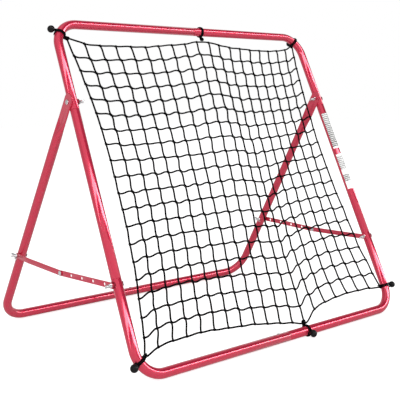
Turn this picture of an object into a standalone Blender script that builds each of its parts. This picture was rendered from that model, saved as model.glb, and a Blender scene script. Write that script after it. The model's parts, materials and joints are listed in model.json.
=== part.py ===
"""Pitching target net: a square tube frame that leans back on a U-shaped folding stand.

A knotted net is stretched inside the frame by six ball bungees. Two flat-bar braces, each made of
a perforated bar and a plain bar bolted together, hold the stand open. Metres, +Z up, +Y to the rear.
The origin is on the floor, under the middle of the frame's bottom tube.
"""

import math
from collections import namedtuple

import bmesh
import bpy
from mathutils import Matrix, Vector

# Tubes: welded steel tube, bent to a square and joined by swaged ends.
TUBE_R = 0.0125
WALL = 0.0012
SPIGOT_R = 0.0110           # a swaged end, which slides into the next tube's bore
SPIGOT_L = 0.045
SIDES = 16
FACET_R = TUBE_R * math.cos(math.pi / SIDES)   # from a tube's axis to its facets
AXIS_Z = FACET_R            # the lowest facet lies on the floor
BEND_R = 0.067
BEND_STEPS = 5
GAP = 0.0003                # clearance between neighbouring pieces

# Frame, in its own plane: x to the right, s up along the frame from the bottom tube's axis.
FRAME_W = 0.935             # between the side tubes' axes
FRAME_L = 0.935             # between the bottom and top tubes' axes
TILT = math.radians(25.5)   # lean back from vertical
SIDE_X = FRAME_W / 2
SEAM_TOP_X = 0.010
SEAM_BOTTOM_X = 0.015
SEAM_UPPER_S = 0.679
SEAM_LOWER_S = 0.235
PIVOT_S = 0.702
BRACE_S = 0.222

# Stand: two legs and a rear cross tube, hung on the frame's pivots.
LEG_ANGLE = math.radians(30.9)   # behind vertical
LEG_SHIFT = -0.015               # each leg's axis, from its side tube's axis
LEG_L = PIVOT_S * math.cos(TILT) / math.cos(LEG_ANGLE)
LEG_TIP = 0.023                  # flattened end beyond the pivot bolt
LEG_FLAT_HALF = 0.0015           # half the thickness of the flattened end
LEG_FLAT_END = 0.045
LEG_ROUND_START = 0.115
LEG_BRACE_Q = 0.504              # brace bolt, along the leg from the pivot
SEAM_REAR_X = 0.004

# Braces: flat steel bars.
BAR_HALF_W = 0.0072
BAR_T = 0.0015
BAR_HOLE_R = 0.0037
BAR_END_TO_HOLE = 0.031
BAR_PITCH = 0.0525
BAR_HOLES = 5
BAR_L = BAR_END_TO_HOLE + BAR_PITCH * (BAR_HOLES - 1)   # end bolt to last adjusting hole
BAR_STRAIGHT = 0.070        # the bar stays beside its tube this far, then leans to the middle joint
BAR_LEVEL = 0.015           # and runs level again from here to the middle bolt and past it
MIDDLE_HALF_GAP = BAR_T / 2 + 0.0002    # each bar's centre, from the middle of their joint
SAG_LEFT = 0.012
SAG_RIGHT = 0.0068

# Fasteners.
BOLT_R = 0.003
HOLE_R = BOLT_R + GAP
HEAD_R = 0.0068
HEAD_T = 0.0034
NUT_HUB_R = 0.0056
NUT_HUB_H = 0.0065
NUT_SPAN = 0.0142
NUT_H = 0.0116
SCREW_R = 0.0019
SCREW_HEAD_R = 0.0040
SCREW_BACK = 0.038          # joint screw, from the seam
MIDDLE_NUT_TURN = math.radians(90)    # a middle nut's wings lie along its bar
BOLT_TAIL = 0.016           # shank that carries a wing nut
WASHER_R = 0.0085
WASHER_T = 0.0025

# Where each side's bars and their joint lie in x, from the side tube's axis. On the left a washer
# lies under the front bar, and the rear bar lies on the leg's outer face. The outer bar is the one
# further left at the joint: it carries the middle bolt, and the other bar carries its wing nut.
Planes = namedtuple("Planes", "front rear middle outer")
BESIDE = TUBE_R + GAP + BAR_T / 2
ON_WASHER = BESIDE + WASHER_T + GAP
PLANES = {
    "left": Planes(-ON_WASHER, LEG_SHIFT - BESIDE, -ON_WASHER - MIDDLE_HALF_GAP, "rear"),
    "right": Planes(-BESIDE, LEG_SHIFT + BESIDE, LEG_SHIFT / 2, "front"),
}

# Net and ball bungees.
CELLS = 19
CORD_W = 0.0032
CORD_H = 0.0026
SAG_TOP = 0.032
SAG_SIDE = 0.045
SAG_BOTTOM = 0.031
BALL_R = 0.010
BALL_BORE = 0.0047
CORD_R = 0.002
LOOP_R = TUBE_R + CORD_R + 0.0005
HOOK_R = 0.0075
HOOK_DEPTH = 0.0215         # net corner, from the tube's axis
TOP_HOOK_X = 0.040
BOTTOM_HOOK_X = 0.090
TOP_HOOK_DEPTH = 0.028
TOP_HOOK_SHARE = 9.5 / CELLS      # of the top edge: between two cords
BOTTOM_HOOK_SHARE = 12 / CELLS    # of the bottom edge: at a knot
KNOT_CLEAR = CORD_W / 2 + CORD_R + 0.0005
STRAND_HALF = 0.00235       # each strand of a loop, from the middle of its ball's bore
NECK_CLEAR = 0.0002         # a strand bends just outside its ball
CORD_IN_BALL = 0.008        # depth of the strands' ends inside the ball
FLAT_REACH = math.radians(50)     # a cord under the tube lies pressed flat this far each way
FLAT_SHARE = 0.35                 # and to this share of its thickness

# Corner bungees: where the loop sits round the corner's bend (degrees from +x towards +s), the
# ball's distance from the tube's axis, and its turn from outward towards the rear, in degrees.
Corner = namedtuple("Corner", "angle reach turn")
CORNERS = {
    "top_left": Corner(147.0, 0.026, 0.0),
    "top_right": Corner(48.0, 0.026, 68.0),
    "bottom_left": Corner(207.5, 0.026, -20.0),
    "bottom_right": Corner(-7.0, 0.036, 0.0),
}
MIDDLE_REACH = 0.026
TOP_MIDDLE_TURN = math.radians(64)
BOTTOM_MIDDLE_TURN = math.radians(-60.5)

# Labels on the right side tube.
LABELS = {"upper_label": (0.520, 0.645), "lower_label": (0.380, 0.499)}
LABEL_CORNERS = range(7, 13)      # of the tube's section, on its front left quarter
LABEL_T = 0.0003

Stop = namedtuple("Stop", "x z out_x out_z radius half width")
Finish = namedtuple("Finish", "colour roughness metallic")
FINISHES = {
    "red_paint": Finish((0.58, 0.035, 0.075), 0.28, 0.0),
    "zinc": Finish((0.72, 0.72, 0.74), 0.32, 1.0),
    "black_cord": Finish((0.012, 0.012, 0.013), 0.75, 0.0),
    "black_ball": Finish((0.012, 0.012, 0.013), 0.35, 0.0),
    "dark_red_plastic": Finish((0.25, 0.012, 0.025), 0.4, 0.0),
    "white_label": Finish((0.82, 0.82, 0.82), 0.5, 0.0),
}


# ---- helpers ---------------------------------------------------------------------------------

def clear_scene():
    for obj in list(bpy.data.objects):
        bpy.data.objects.remove(obj, do_unlink=True)


def material(name, finish):
    made = bpy.data.materials.new(name)
    made.use_nodes = True
    shader = made.node_tree.nodes["Principled BSDF"]
    shader.inputs["Base Color"].default_value = (*finish.colour, 1.0)
    shader.inputs["Roughness"].default_value = finish.roughness
    shader.inputs["Metallic"].default_value = finish.metallic
    made.diffuse_color = (*finish.colour, 1.0)
    return made


def new_object(name, mesh):
    obj = bpy.data.objects.new(name, mesh)
    bpy.context.scene.collection.objects.link(obj)
    return obj


def to_mesh(name, work):
    bmesh.ops.recalc_face_normals(work, faces=work.faces)
    mesh = bpy.data.meshes.new(name)
    work.to_mesh(mesh)
    work.free()
    return mesh


def finish_node(obj, finish, parent=None, place=None, sharp=40):
    """Gives a node its material and shading, and puts it in its parent's frame."""
    obj.data.materials.clear()
    obj.data.materials.append(material(obj.name, FINISHES[finish]))
    obj.data.shade_smooth()
    obj.data.set_sharp_from_angle(angle=math.radians(sharp))
    obj.parent = parent
    if place is not None:
        obj.matrix_basis = place
    return obj


def empty(name, location, turn, parent=None):
    """An empty at a pivot, turned about the X axis."""
    made = bpy.data.objects.new(name, None)
    bpy.context.scene.collection.objects.link(made)
    made.parent = parent
    made.location = location
    made.rotation_euler = (turn, 0.0, 0.0)
    return made


def boolean(obj, tool_mesh, operation):
    """Applies one exact Boolean to obj and removes the tool."""
    tool = new_object("tool", tool_mesh)
    modifier = obj.modifiers.new("boolean", "BOOLEAN")
    modifier.operation = operation
    modifier.solver = "EXACT"
    modifier.object = tool
    graph = bpy.context.evaluated_depsgraph_get()
    result = bpy.data.meshes.new_from_object(obj.evaluated_get(graph))
    obj.modifiers.clear()
    result.name = obj.name
    obj.data = result
    bpy.data.objects.remove(tool, do_unlink=True)


def rod_mesh(start, end, radius, segments):
    """A closed cylinder between two points."""
    start, end = Vector(start), Vector(end)
    axis = end - start
    turn = axis.to_track_quat("Z", "Y").to_matrix().to_4x4()
    work = bmesh.new()
    bmesh.ops.create_cone(
        work, cap_ends=True, segments=segments, radius1=radius, radius2=radius,
        depth=axis.length, matrix=Matrix.Translation((start + end) / 2) @ turn,
    )
    return to_mesh("rod", work)


def drill(obj, start, end, radius, segments=10):
    boolean(obj, rod_mesh(start, end, radius, segments), "DIFFERENCE")


def drill_across(obj, x, z, radius=HOLE_R):
    """A bolt hole through both walls of a tube, along X."""
    reach = TUBE_R + 0.01
    drill(obj, (x - reach, 0.0, z), (x + reach, 0.0, z), radius)


def turned(name, profile, segments=12):
    """A solid of revolution about Z: the profile runs from the axis to the axis, as (radius, z)."""
    work = bmesh.new()
    rings = []
    for radius, z in profile:
        if radius == 0.0:
            rings.append([work.verts.new((0.0, 0.0, z))])
            continue
        ring = []
        for k in range(segments):
            angle = 2 * math.pi * k / segments
            ring.append(work.verts.new((radius * math.cos(angle), radius * math.sin(angle), z)))
        rings.append(ring)
    for low, high in zip(rings, rings[1:]):
        for k in range(segments):
            after = (k + 1) % segments
            corners = [low[k % len(low)], low[after % len(low)]]
            corners += [high[after % len(high)], high[k % len(high)]]
            work.faces.new(list(dict.fromkeys(corners)))
    return to_mesh(name, work)


def along(origin, direction):
    """A placement whose +Z runs along direction."""
    turn = Vector(direction).to_track_quat("Z", "Y").to_matrix().to_4x4()
    return Matrix.Translation(Vector(origin)) @ turn


# ---- tubes -----------------------------------------------------------------------------------

def section(radius, half, phase, inset):
    """Ring of (out, side) offsets of a tube pressed to a thickness of 2 * half, less a wall."""
    flat = math.pi * (radius - half) / 2
    quarter = flat + math.pi * half / 2
    ring = []
    for k in range(SIDES):
        turn = ((k + 0.5) / SIDES + phase) % 1.0 * 4.0
        quadrant = int(turn)
        reach = (turn - quadrant) * quarter
        if quadrant % 2:
            reach = quarter - reach
        if reach < flat:
            out, side = half - inset, reach
        else:
            angle = (reach - flat) / half
            out = (half - inset) * math.cos(angle)
            side = flat + (half - inset) * math.sin(angle)
        out_sign = 1 if quadrant in (0, 3) else -1
        side_sign = 1 if quadrant in (0, 1) else -1
        ring.append((out_sign * out, side_sign * side))
    return ring


def tube_mesh(name, stops, phase):
    """A hollow tube through the stops, open at both ends."""
    work = bmesh.new()
    outer, inner = [], []
    for stop in stops:
        for inset, rings in ((0.0, outer), (WALL, inner)):
            ring = []
            for out, side in section(stop.radius, stop.half, phase, inset):
                place = (stop.x + stop.out_x * out, side * stop.width, stop.z + stop.out_z * out)
                ring.append(work.verts.new(place))
            rings.append(ring)
    joined = list(zip(outer, outer[1:])) + list(zip(inner, inner[1:]))
    joined += [(outer[0], inner[0]), (outer[-1], inner[-1])]
    for one, other in joined:
        for k in range(SIDES):
            after = (k + 1) % SIDES
            work.faces.new((one[k], one[after], other[after], other[k]))
    return to_mesh(name, work)


def round_stop(x, z, out_x, out_z, radius=TUBE_R):
    return Stop(x, z, out_x, out_z, radius, radius, 1.0)


def bend(centre_x, centre_z, sign_x, sign_z):
    """Stops round a quarter bend, from pointing along z to pointing along x."""
    stops = []
    for k in range(BEND_STEPS + 1):
        angle = math.pi / 2 * k / BEND_STEPS
        out_x = sign_x * math.sin(angle)
        out_z = sign_z * math.cos(angle)
        stops.append(round_stop(centre_x + BEND_R * out_x, centre_z + BEND_R * out_z, out_x, out_z))
    return stops


# Turns of the tubes' sections that put a facet square to the floor.
FRAME_PHASE = TILT / (2 * math.pi)
STAND_PHASE = -LEG_ANGLE / (2 * math.pi)
# The rear cross tube's facet that faces up, opposite the one on the floor.
REAR_SCREW_OUT = Vector((0.0, math.sin(LEG_ANGLE), math.cos(LEG_ANGLE)))


def corner_tube(name, sign_x, top, seam_x, seam_s, frame):
    """A frame tube round one corner. The right-hand ones carry the spigot at the seam."""
    sign_z = 1 if top else -1
    level = FRAME_L if top else 0.0
    stops = []
    if sign_x > 0:
        stops.append(round_stop(seam_x - SPIGOT_L, level, 0, sign_z, SPIGOT_R))
        stops.append(round_stop(seam_x, level, 0, sign_z, SPIGOT_R))
        stops.append(round_stop(seam_x + GAP, level, 0, sign_z))
    else:
        stops.append(round_stop(seam_x - GAP, level, 0, sign_z))
    stops += bend(sign_x * (SIDE_X - BEND_R), level - sign_z * BEND_R, sign_x, sign_z)
    stops.append(round_stop(sign_x * SIDE_X, seam_s + sign_z * GAP, sign_x, 0))
    obj = new_object(name, tube_mesh(name, stops, FRAME_PHASE))
    drill_across(obj, sign_x * SIDE_X, PIVOT_S if top else BRACE_S)
    screw_x = seam_x - SCREW_BACK
    out = screw_direction(top)
    drill(obj, (screw_x, 0, level), Vector((screw_x, 0, level)) + out * 0.03, SCREW_R + GAP, 8)
    return finish_node(obj, "red_paint", frame)


def screw_direction(top):
    """Joint screws stand square on a facet: upward on the bottom tube, to the rear on the top one."""
    if top:
        turn = TILT + 2 * (2 * math.pi / SIDES)
        return Vector((0.0, math.sin(turn), math.cos(turn)))
    return Vector((0.0, -math.sin(TILT), math.cos(TILT)))


def middle_tube(name, sign_x, frame):
    """A straight side tube with a spigot at each end."""
    x = sign_x * SIDE_X
    stops = [
        round_stop(x, SEAM_UPPER_S + SPIGOT_L, sign_x, 0, SPIGOT_R),
        round_stop(x, SEAM_UPPER_S, sign_x, 0, SPIGOT_R),
        round_stop(x, SEAM_UPPER_S - GAP, sign_x, 0),
        round_stop(x, SEAM_LOWER_S + GAP, sign_x, 0),
        round_stop(x, SEAM_LOWER_S, sign_x, 0, SPIGOT_R),
        round_stop(x, SEAM_LOWER_S - SPIGOT_L, sign_x, 0, SPIGOT_R),
    ]
    obj = new_object(name, tube_mesh(name, stops, FRAME_PHASE))
    drill_across(obj, x, PIVOT_S)
    drill_across(obj, x, BRACE_S)
    return finish_node(obj, "red_paint", frame)


def leg_stops(x, sign_x):
    """Stops down a leg, from its flattened and rounded end to the start of the bend."""
    stops = []
    for share in (0.985, 0.90, 0.70, 0.35):
        width = (1 - share ** 3) ** (1 / 3)
        stops.append(Stop(x, share * LEG_TIP, sign_x, 0, TUBE_R, LEG_FLAT_HALF, width))
    stops.append(Stop(x, -LEG_FLAT_END, sign_x, 0, TUBE_R, LEG_FLAT_HALF, 1.0))
    steps = 6
    for k in range(1, steps + 1):
        share = k / steps
        eased = share * share * (3 - 2 * share)
        half = LEG_FLAT_HALF + (TUBE_R - LEG_FLAT_HALF) * eased
        q = LEG_FLAT_END + (LEG_ROUND_START - LEG_FLAT_END) * share
        stops.append(Stop(x, -q, sign_x, 0, TUBE_R, half, 1.0))
    return stops


def stand_tube(name, sign_x, stand):
    """Half of the stand: a leg, a bend and half the cross tube. The right one carries the spigot."""
    x = sign_x * SIDE_X + LEG_SHIFT
    stops = leg_stops(x, sign_x)
    stops += reversed(bend(x - sign_x * BEND_R, -LEG_L + BEND_R, sign_x, -1))
    if sign_x > 0:
        stops.append(round_stop(SEAM_REAR_X + GAP, -LEG_L, 0, -1))
        stops.append(round_stop(SEAM_REAR_X, -LEG_L, 0, -1, SPIGOT_R))
        stops.append(round_stop(SEAM_REAR_X - SPIGOT_L, -LEG_L, 0, -1, SPIGOT_R))
    else:
        stops.append(round_stop(SEAM_REAR_X - GAP, -LEG_L, 0, -1))
    obj = new_object(name, tube_mesh(name, stops, STAND_PHASE))
    drill_across(obj, x, 0.0)
    drill_across(obj, x, -LEG_BRACE_Q)
    screw = Vector((SEAM_REAR_X - SCREW_BACK, 0.0, -LEG_L))
    drill(obj, screw, screw + REAR_SCREW_OUT * 0.03, SCREW_R + GAP, 8)
    return finish_node(obj, "red_paint", stand)


# ---- braces ----------------------------------------------------------------------------------

def bar_mesh(name, length, holes, lean):
    """A flat bar along -Z from its end bolt at the origin, with rounded ends, thin along X.

    Beyond BAR_STRAIGHT it leans along X, by lean in all, and runs level again at its far hole.
    """
    work = bmesh.new()
    outline = []
    arc_steps = 4
    for end, start_angle in ((0.0, 0.0), (-length, math.pi)):
        for k in range(arc_steps + 1):
            angle = start_angle + math.pi * k / arc_steps
            y = BAR_HALF_W * math.cos(angle)
            outline.append(work.verts.new((-BAR_T / 2, y, end + BAR_HALF_W * math.sin(angle))))
    face = work.faces.new(outline)
    made = bmesh.ops.extrude_face_region(work, geom=[face])
    moved = [v for v in made["geom"] if isinstance(v, bmesh.types.BMVert)]
    bmesh.ops.translate(work, verts=moved, vec=(BAR_T, 0, 0))
    obj = new_object(name, to_mesh(name, work))
    for hole in holes:
        drill(obj, (-0.01, 0, -hole), (0.01, 0, -hole), BAR_HOLE_R)
    work = bmesh.new()
    work.from_mesh(obj.data)
    lean_end = length - BAR_LEVEL
    for crease in (BAR_STRAIGHT, lean_end):
        geometry = work.verts[:] + work.edges[:] + work.faces[:]
        bmesh.ops.bisect_plane(work, geom=geometry, plane_co=(0, 0, -crease), plane_no=(0, 0, 1))
    for vert in work.verts:
        share = (-vert.co.z - BAR_STRAIGHT) / (lean_end - BAR_STRAIGHT)
        vert.co.x += lean * min(1.0, max(0.0, share))
    bmesh.ops.triangulate(work, faces=work.faces)
    obj.data = to_mesh(name, work)
    return obj


def perforated_holes():
    return [0.0] + [BAR_END_TO_HOLE + BAR_PITCH * k for k in range(BAR_HOLES)]


def side_point(y, z):
    return Vector((0.0, y, z))


PIVOT = side_point(PIVOT_S * math.sin(TILT), AXIS_Z + PIVOT_S * math.cos(TILT))
FRONT_BOLT = side_point(BRACE_S * math.sin(TILT), AXIS_Z + BRACE_S * math.cos(TILT))
REAR_BOLT = PIVOT + side_point(LEG_BRACE_Q * math.sin(LEG_ANGLE), -LEG_BRACE_Q * math.cos(LEG_ANGLE))


def middle_joint(perforated_in_front, sag):
    """Where the two bars of a brace meet, below the line between their end bolts."""
    line = REAR_BOLT - FRONT_BOLT
    reach = math.sqrt(BAR_L ** 2 - sag ** 2)
    if perforated_in_front:
        foot = FRONT_BOLT + line.normalized() * reach
    else:
        foot = REAR_BOLT - line.normalized() * reach
    down = Vector((0.0, line.normalized().z, -line.normalized().y))
    return foot + down * sag


def turn_for(direction):
    """Rotation about X that takes -Z to a direction in the side plane."""
    return math.atan2(direction.y, -direction.z)


def brace(side, sign_x, perforated_in_front, sag, frame, stand):
    """The two bars of one side's brace, the bolt and the wing nut of their middle joint."""
    middle = middle_joint(perforated_in_front, sag)
    x = sign_x * SIDE_X
    planes = PLANES[side]
    plans = (
        ("front", FRONT_BOLT, x + planes.front, perforated_in_front, frame),
        ("rear", REAR_BOLT, x + planes.rear, not perforated_in_front, stand),
    )
    placed = {}
    for end, bolt, bar_x, perforated, parent in plans:
        step = -MIDDLE_HALF_GAP if end == planes.outer else MIDDLE_HALF_GAP
        far_x = x + planes.middle + step
        name = f"{side}_{end}_brace_bar"
        direction = middle - bolt
        length = BAR_L if perforated else direction.length
        holes = perforated_holes() if perforated else [0.0, length]
        obj = bar_mesh(name, length, holes, far_x - bar_x)
        hinge = empty(f"{name}_hinge", (0, 0, 0), 0.0, parent)
        base = parent_matrix(parent)
        world = Matrix.Translation((bar_x, bolt.y, bolt.z)) @ Matrix.Rotation(turn_for(direction), 4, "X")
        hinge.matrix_basis = base.inverted() @ world
        finish_node(obj, "red_paint", hinge)
        placed[end] = (hinge, length, far_x - bar_x)
    inner = "front" if planes.outer == "rear" else "rear"
    hinge, length, lean = placed[planes.outer]
    make_bolt(f"{side}_brace_middle_bolt", hinge, (lean - BAR_T / 2, 0, -length), (-1, 0, 0), BAR_T)
    hinge, length, lean = placed[inner]
    seat = (lean + BAR_T / 2, 0, -length)
    make_wing_nut(f"{side}_brace_middle_wing_nut", hinge, seat, (1, 0, 0), MIDDLE_NUT_TURN)


def parent_matrix(parent):
    bpy.context.view_layer.update()
    return parent.matrix_world.copy()


# ---- fasteners -------------------------------------------------------------------------------

def make_bolt(name, parent, seat, out, grip):
    """A domed bolt seated on a face. Its head stands along out, its shank runs grip the other way."""
    profile = [
        (0.0, HEAD_T + GAP), (HEAD_R * 0.55, HEAD_T * 0.86 + GAP), (HEAD_R * 0.92, HEAD_T * 0.42 + GAP),
        (HEAD_R, GAP), (BOLT_R, GAP), (BOLT_R, 0.0006 - grip), (BOLT_R * 0.8, -grip), (0.0, -grip),
    ]
    obj = new_object(name, turned(name, profile, 10))
    return finish_node(obj, "zinc", parent, along(seat, out))


def wing_nut_mesh():
    """A wing nut about Z, with its bore open and its wings standing up and out."""
    bore = BOLT_R + GAP
    ring_profile = [(bore, 0.0), (NUT_HUB_R, 0.0), (NUT_HUB_R * 0.78, NUT_HUB_H), (bore, NUT_HUB_H)]
    work = bmesh.new()
    segments = 12
    rings = []
    for radius, z in ring_profile:
        rings.append([
            work.verts.new((radius * math.cos(2 * math.pi * k / segments),
                            radius * math.sin(2 * math.pi * k / segments), z))
            for k in range(segments)
        ])
    for one, other in zip(rings, rings[1:] + rings[:1]):
        for k in range(segments):
            after = (k + 1) % segments
            work.faces.new((one[k], one[after], other[after], other[k]))
    hub = new_object("hub", to_mesh("wing_nut", work))
    root = NUT_HUB_R * 0.70
    wing = [
        (root, 0.0008), (0.0085, 0.0020), (0.0128, 0.0060), (NUT_SPAN, 0.0095),
        (0.0128, NUT_H), (0.0102, NUT_H - 0.0004), (0.0070, 0.0072), (root, 0.0058),
    ]
    work = bmesh.new()
    half_t = 0.0011
    for sign in (1, -1):
        front = [work.verts.new((sign * r, half_t, z)) for r, z in wing]
        back = [work.verts.new((sign * r, -half_t, z)) for r, z in wing]
        work.faces.new(front)
        work.faces.new(list(reversed(back)))
        for k in range(len(wing)):
            after = (k + 1) % len(wing)
            work.faces.new((front[k], back[k], back[after], front[after]))
    boolean(hub, to_mesh("wings", work), "UNION")
    mesh = hub.data
    bpy.data.objects.remove(hub, do_unlink=True)
    return mesh


def make_wing_nut(name, parent, seat, out, turn=0.0):
    out = Vector(out)
    obj = new_object(name, wing_nut_mesh())
    place = along(Vector(seat) + out * GAP, out) @ Matrix.Rotation(turn, 4, "Z")
    return finish_node(obj, "zinc", parent, place)


def saddle_washer(name, sign_x, s, face, frame):
    """A washer hollowed to fit a side tube, on its right face (face = 1) or its left one (-1)."""
    x = sign_x * SIDE_X
    near = x + face * TUBE_R * 0.7
    far = x + face * (TUBE_R + GAP + WASHER_T)
    obj = new_object(name, rod_mesh((near, 0, s), (far, 0, s), WASHER_R, 16))
    drill(obj, (x, 0, s - 0.02), (x, 0, s + 0.02), TUBE_R + GAP, 32)
    drill(obj, (x, 0, s), (far + face * 0.01, 0, s), HOLE_R)
    return finish_node(obj, "dark_red_plastic", frame)


def joint_screw(name, parent, axis_point, out):
    """A pan-head screw through a tube and the spigot inside it."""
    profile = [
        (0.0, 0.0020 + GAP), (SCREW_HEAD_R * 0.7, 0.0018 + GAP), (SCREW_HEAD_R, 0.0008 + GAP),
        (SCREW_HEAD_R, GAP), (SCREW_R, GAP), (SCREW_R, -0.0036), (0.0, -0.0050),
    ]
    obj = new_object(name, turned(name, profile, 8))
    return finish_node(obj, "zinc", parent, along(Vector(axis_point) + Vector(out) * FACET_R, out))


def fasteners(frame, stand):
    """Bolts, wing nuts and washers at the pivots and at the braces' ends."""
    for side, sign_x in (("left", -1), ("right", 1)):
        x = sign_x * SIDE_X
        plate_out = x + LEG_SHIFT - LEG_FLAT_HALF
        washer_out = x + TUBE_R + GAP + WASHER_T
        saddle_washer(f"{side}_pivot_saddle_washer", sign_x, PIVOT_S, 1, frame)
        saddle_washer(f"{side}_brace_saddle_washer", sign_x, BRACE_S, sign_x, frame)
        grip = washer_out - plate_out + BOLT_TAIL
        if side == "left":
            bolt_seat, bolt_out, nut_seat, nut_out = plate_out, (-1, 0, 0), washer_out, (1, 0, 0)
        else:
            bolt_seat, bolt_out, nut_seat, nut_out = washer_out, (1, 0, 0), plate_out, (-1, 0, 0)
        make_bolt(f"{side}_pivot_bolt", frame, (bolt_seat, 0, PIVOT_S), bolt_out, grip)
        make_wing_nut(f"{side}_pivot_wing_nut", frame, (nut_seat, 0, PIVOT_S), nut_out)
        planes = PLANES[side]
        head = x + TUBE_R if side == "left" else washer_out
        nut = x + planes.front - BAR_T / 2
        grip = head - nut + BOLT_TAIL
        make_bolt(f"{side}_front_brace_bolt", frame, (head, 0, BRACE_S), (1, 0, 0), grip)
        make_wing_nut(f"{side}_front_brace_wing_nut", frame, (nut, 0, BRACE_S), (-1, 0, 0))
        head = x + max(planes.rear + BAR_T / 2, LEG_SHIFT + TUBE_R)
        nut = x + min(planes.rear - BAR_T / 2, LEG_SHIFT - TUBE_R)
        grip = head - nut + BOLT_TAIL
        make_bolt(f"{side}_rear_brace_bolt", stand, (head, 0, -LEG_BRACE_Q), (1, 0, 0), grip)
        make_wing_nut(f"{side}_rear_brace_wing_nut", stand, (nut, 0, -LEG_BRACE_Q), (-1, 0, 0))
    top, bottom = SEAM_TOP_X - SCREW_BACK, SEAM_BOTTOM_X - SCREW_BACK
    joint_screw("top_joint_screw", frame, (top, 0, FRAME_L), screw_direction(True))
    joint_screw("bottom_joint_screw", frame, (bottom, 0, 0), screw_direction(False))
    joint_screw("rear_joint_screw", stand, (SEAM_REAR_X - SCREW_BACK, 0, -LEG_L), REAR_SCREW_OUT)


# ---- net and bungees -------------------------------------------------------------------------

def corner_centre(corner):
    x = (SIDE_X - BEND_R) * (-1 if "left" in corner else 1)
    return Vector((x, 0.0, BEND_R if "bottom" in corner else FRAME_L - BEND_R))


def corner_hook(corner):
    """The net's corner, inside the frame's bend."""
    angle = math.radians(CORNERS[corner].angle)
    reach = BEND_R - HOOK_DEPTH
    return corner_centre(corner) + Vector((math.cos(angle), 0.0, math.sin(angle))) * reach


def edge_point(start, hook, end, hook_share, share, sag):
    """A point on a net edge held at its ends and at one hook, hanging slack by sag between them."""
    if share <= hook_share:
        local = share / hook_share
        place = start.lerp(hook, local)
    else:
        local = (share - hook_share) / (1 - hook_share)
        place = hook.lerp(end, local)
    place.z += sag * 4 * local * (1 - local)
    return place


def side_edge(start, end, share, inward):
    place = start.lerp(end, share)
    place.x += inward * math.sin(math.pi * share)
    return place


def net_point(u, t):
    """A point of the net: u from left to right, t from top to bottom, both 0 to 1."""
    top_left, top_right = corner_hook("top_left"), corner_hook("top_right")
    bottom_left, bottom_right = corner_hook("bottom_left"), corner_hook("bottom_right")
    top_hook = Vector((TOP_HOOK_X, 0.0, FRAME_L - TOP_HOOK_DEPTH))
    bottom_hook = Vector((BOTTOM_HOOK_X, 0.0, HOOK_DEPTH))
    top = edge_point(top_left, top_hook, top_right, TOP_HOOK_SHARE, u, -SAG_TOP)
    bottom = edge_point(bottom_left, bottom_hook, bottom_right, BOTTOM_HOOK_SHARE, u, SAG_BOTTOM)
    left = side_edge(top_left, bottom_left, t, SAG_SIDE)
    right = side_edge(top_right, bottom_right, t, -SAG_SIDE)
    corners = top_left.lerp(top_right, u).lerp(bottom_left.lerp(bottom_right, u), t)
    return top.lerp(bottom, t) + left.lerp(right, u) - corners


def net(frame):
    """The net as one lattice: a ridge along every cord over a flat back, with open cells between."""
    work = bmesh.new()
    count = CELLS + 1
    knots = [[net_point(i / CELLS, j / CELLS) for j in range(count)] for i in range(count)]
    half = CORD_W / 2
    ridge = [[work.verts.new(knots[i][j] + Vector((0, -CORD_H / 2, 0))) for j in range(count)]
             for i in range(count)]
    base = {}
    for i in range(count):
        for j in range(count):
            for a in (-1, 1):
                for b in (-1, 1):
                    place = knots[i][j] + Vector((a * half, CORD_H / 2, b * half))
                    base[i, j, a, b] = work.verts.new(place)
    for i in range(count):
        for j in range(count):
            work.faces.new([base[i, j, a, b] for a, b in ((-1, -1), (1, -1), (1, 1), (-1, 1))])
            if i < CELLS:
                ends = ((i, 1), (i + 1, -1))
                work.faces.new([base[ends[0][0], j, 1, -1], base[ends[1][0], j, -1, -1],
                                base[ends[1][0], j, -1, 1], base[ends[0][0], j, 1, 1]])
                for b in (-1, 1):
                    add_slope(work, ridge[i][j], ridge[i + 1][j], base, (i, j, 1, b), (i + 1, j, -1, b))
            if j < CELLS:
                work.faces.new([base[i, j, -1, -1], base[i, j, 1, -1],
                                base[i, j + 1, 1, 1], base[i, j + 1, -1, 1]])
                for a in (-1, 1):
                    add_slope(work, ridge[i][j], ridge[i][j + 1], base, (i, j, a, -1), (i, j + 1, a, 1))
    close_outer_corners(work, ridge, base, count)
    obj = new_object("net", to_mesh("net", work))
    return finish_node(obj, "black_cord", frame, sharp=30)


def add_slope(work, ridge_one, ridge_other, base, one, other):
    """One sloping side of a cord between two knots."""
    work.faces.new([ridge_one, ridge_other, base[other], base[one]])


def close_outer_corners(work, ridge, base, count):
    """Triangles that close each edge knot, where a cord has no neighbour to run into."""
    last = count - 1
    for i in range(count):
        for j in range(count):
            if i == 0:
                work.faces.new([ridge[i][j], base[i, j, -1, 1], base[i, j, -1, -1]])
            if i == last:
                work.faces.new([ridge[i][j], base[i, j, 1, 1], base[i, j, 1, -1]])
            if j == 0:
                work.faces.new([ridge[i][j], base[i, j, -1, 1], base[i, j, 1, 1]])
            if j == last:
                work.faces.new([ridge[i][j], base[i, j, -1, -1], base[i, j, 1, -1]])


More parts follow.
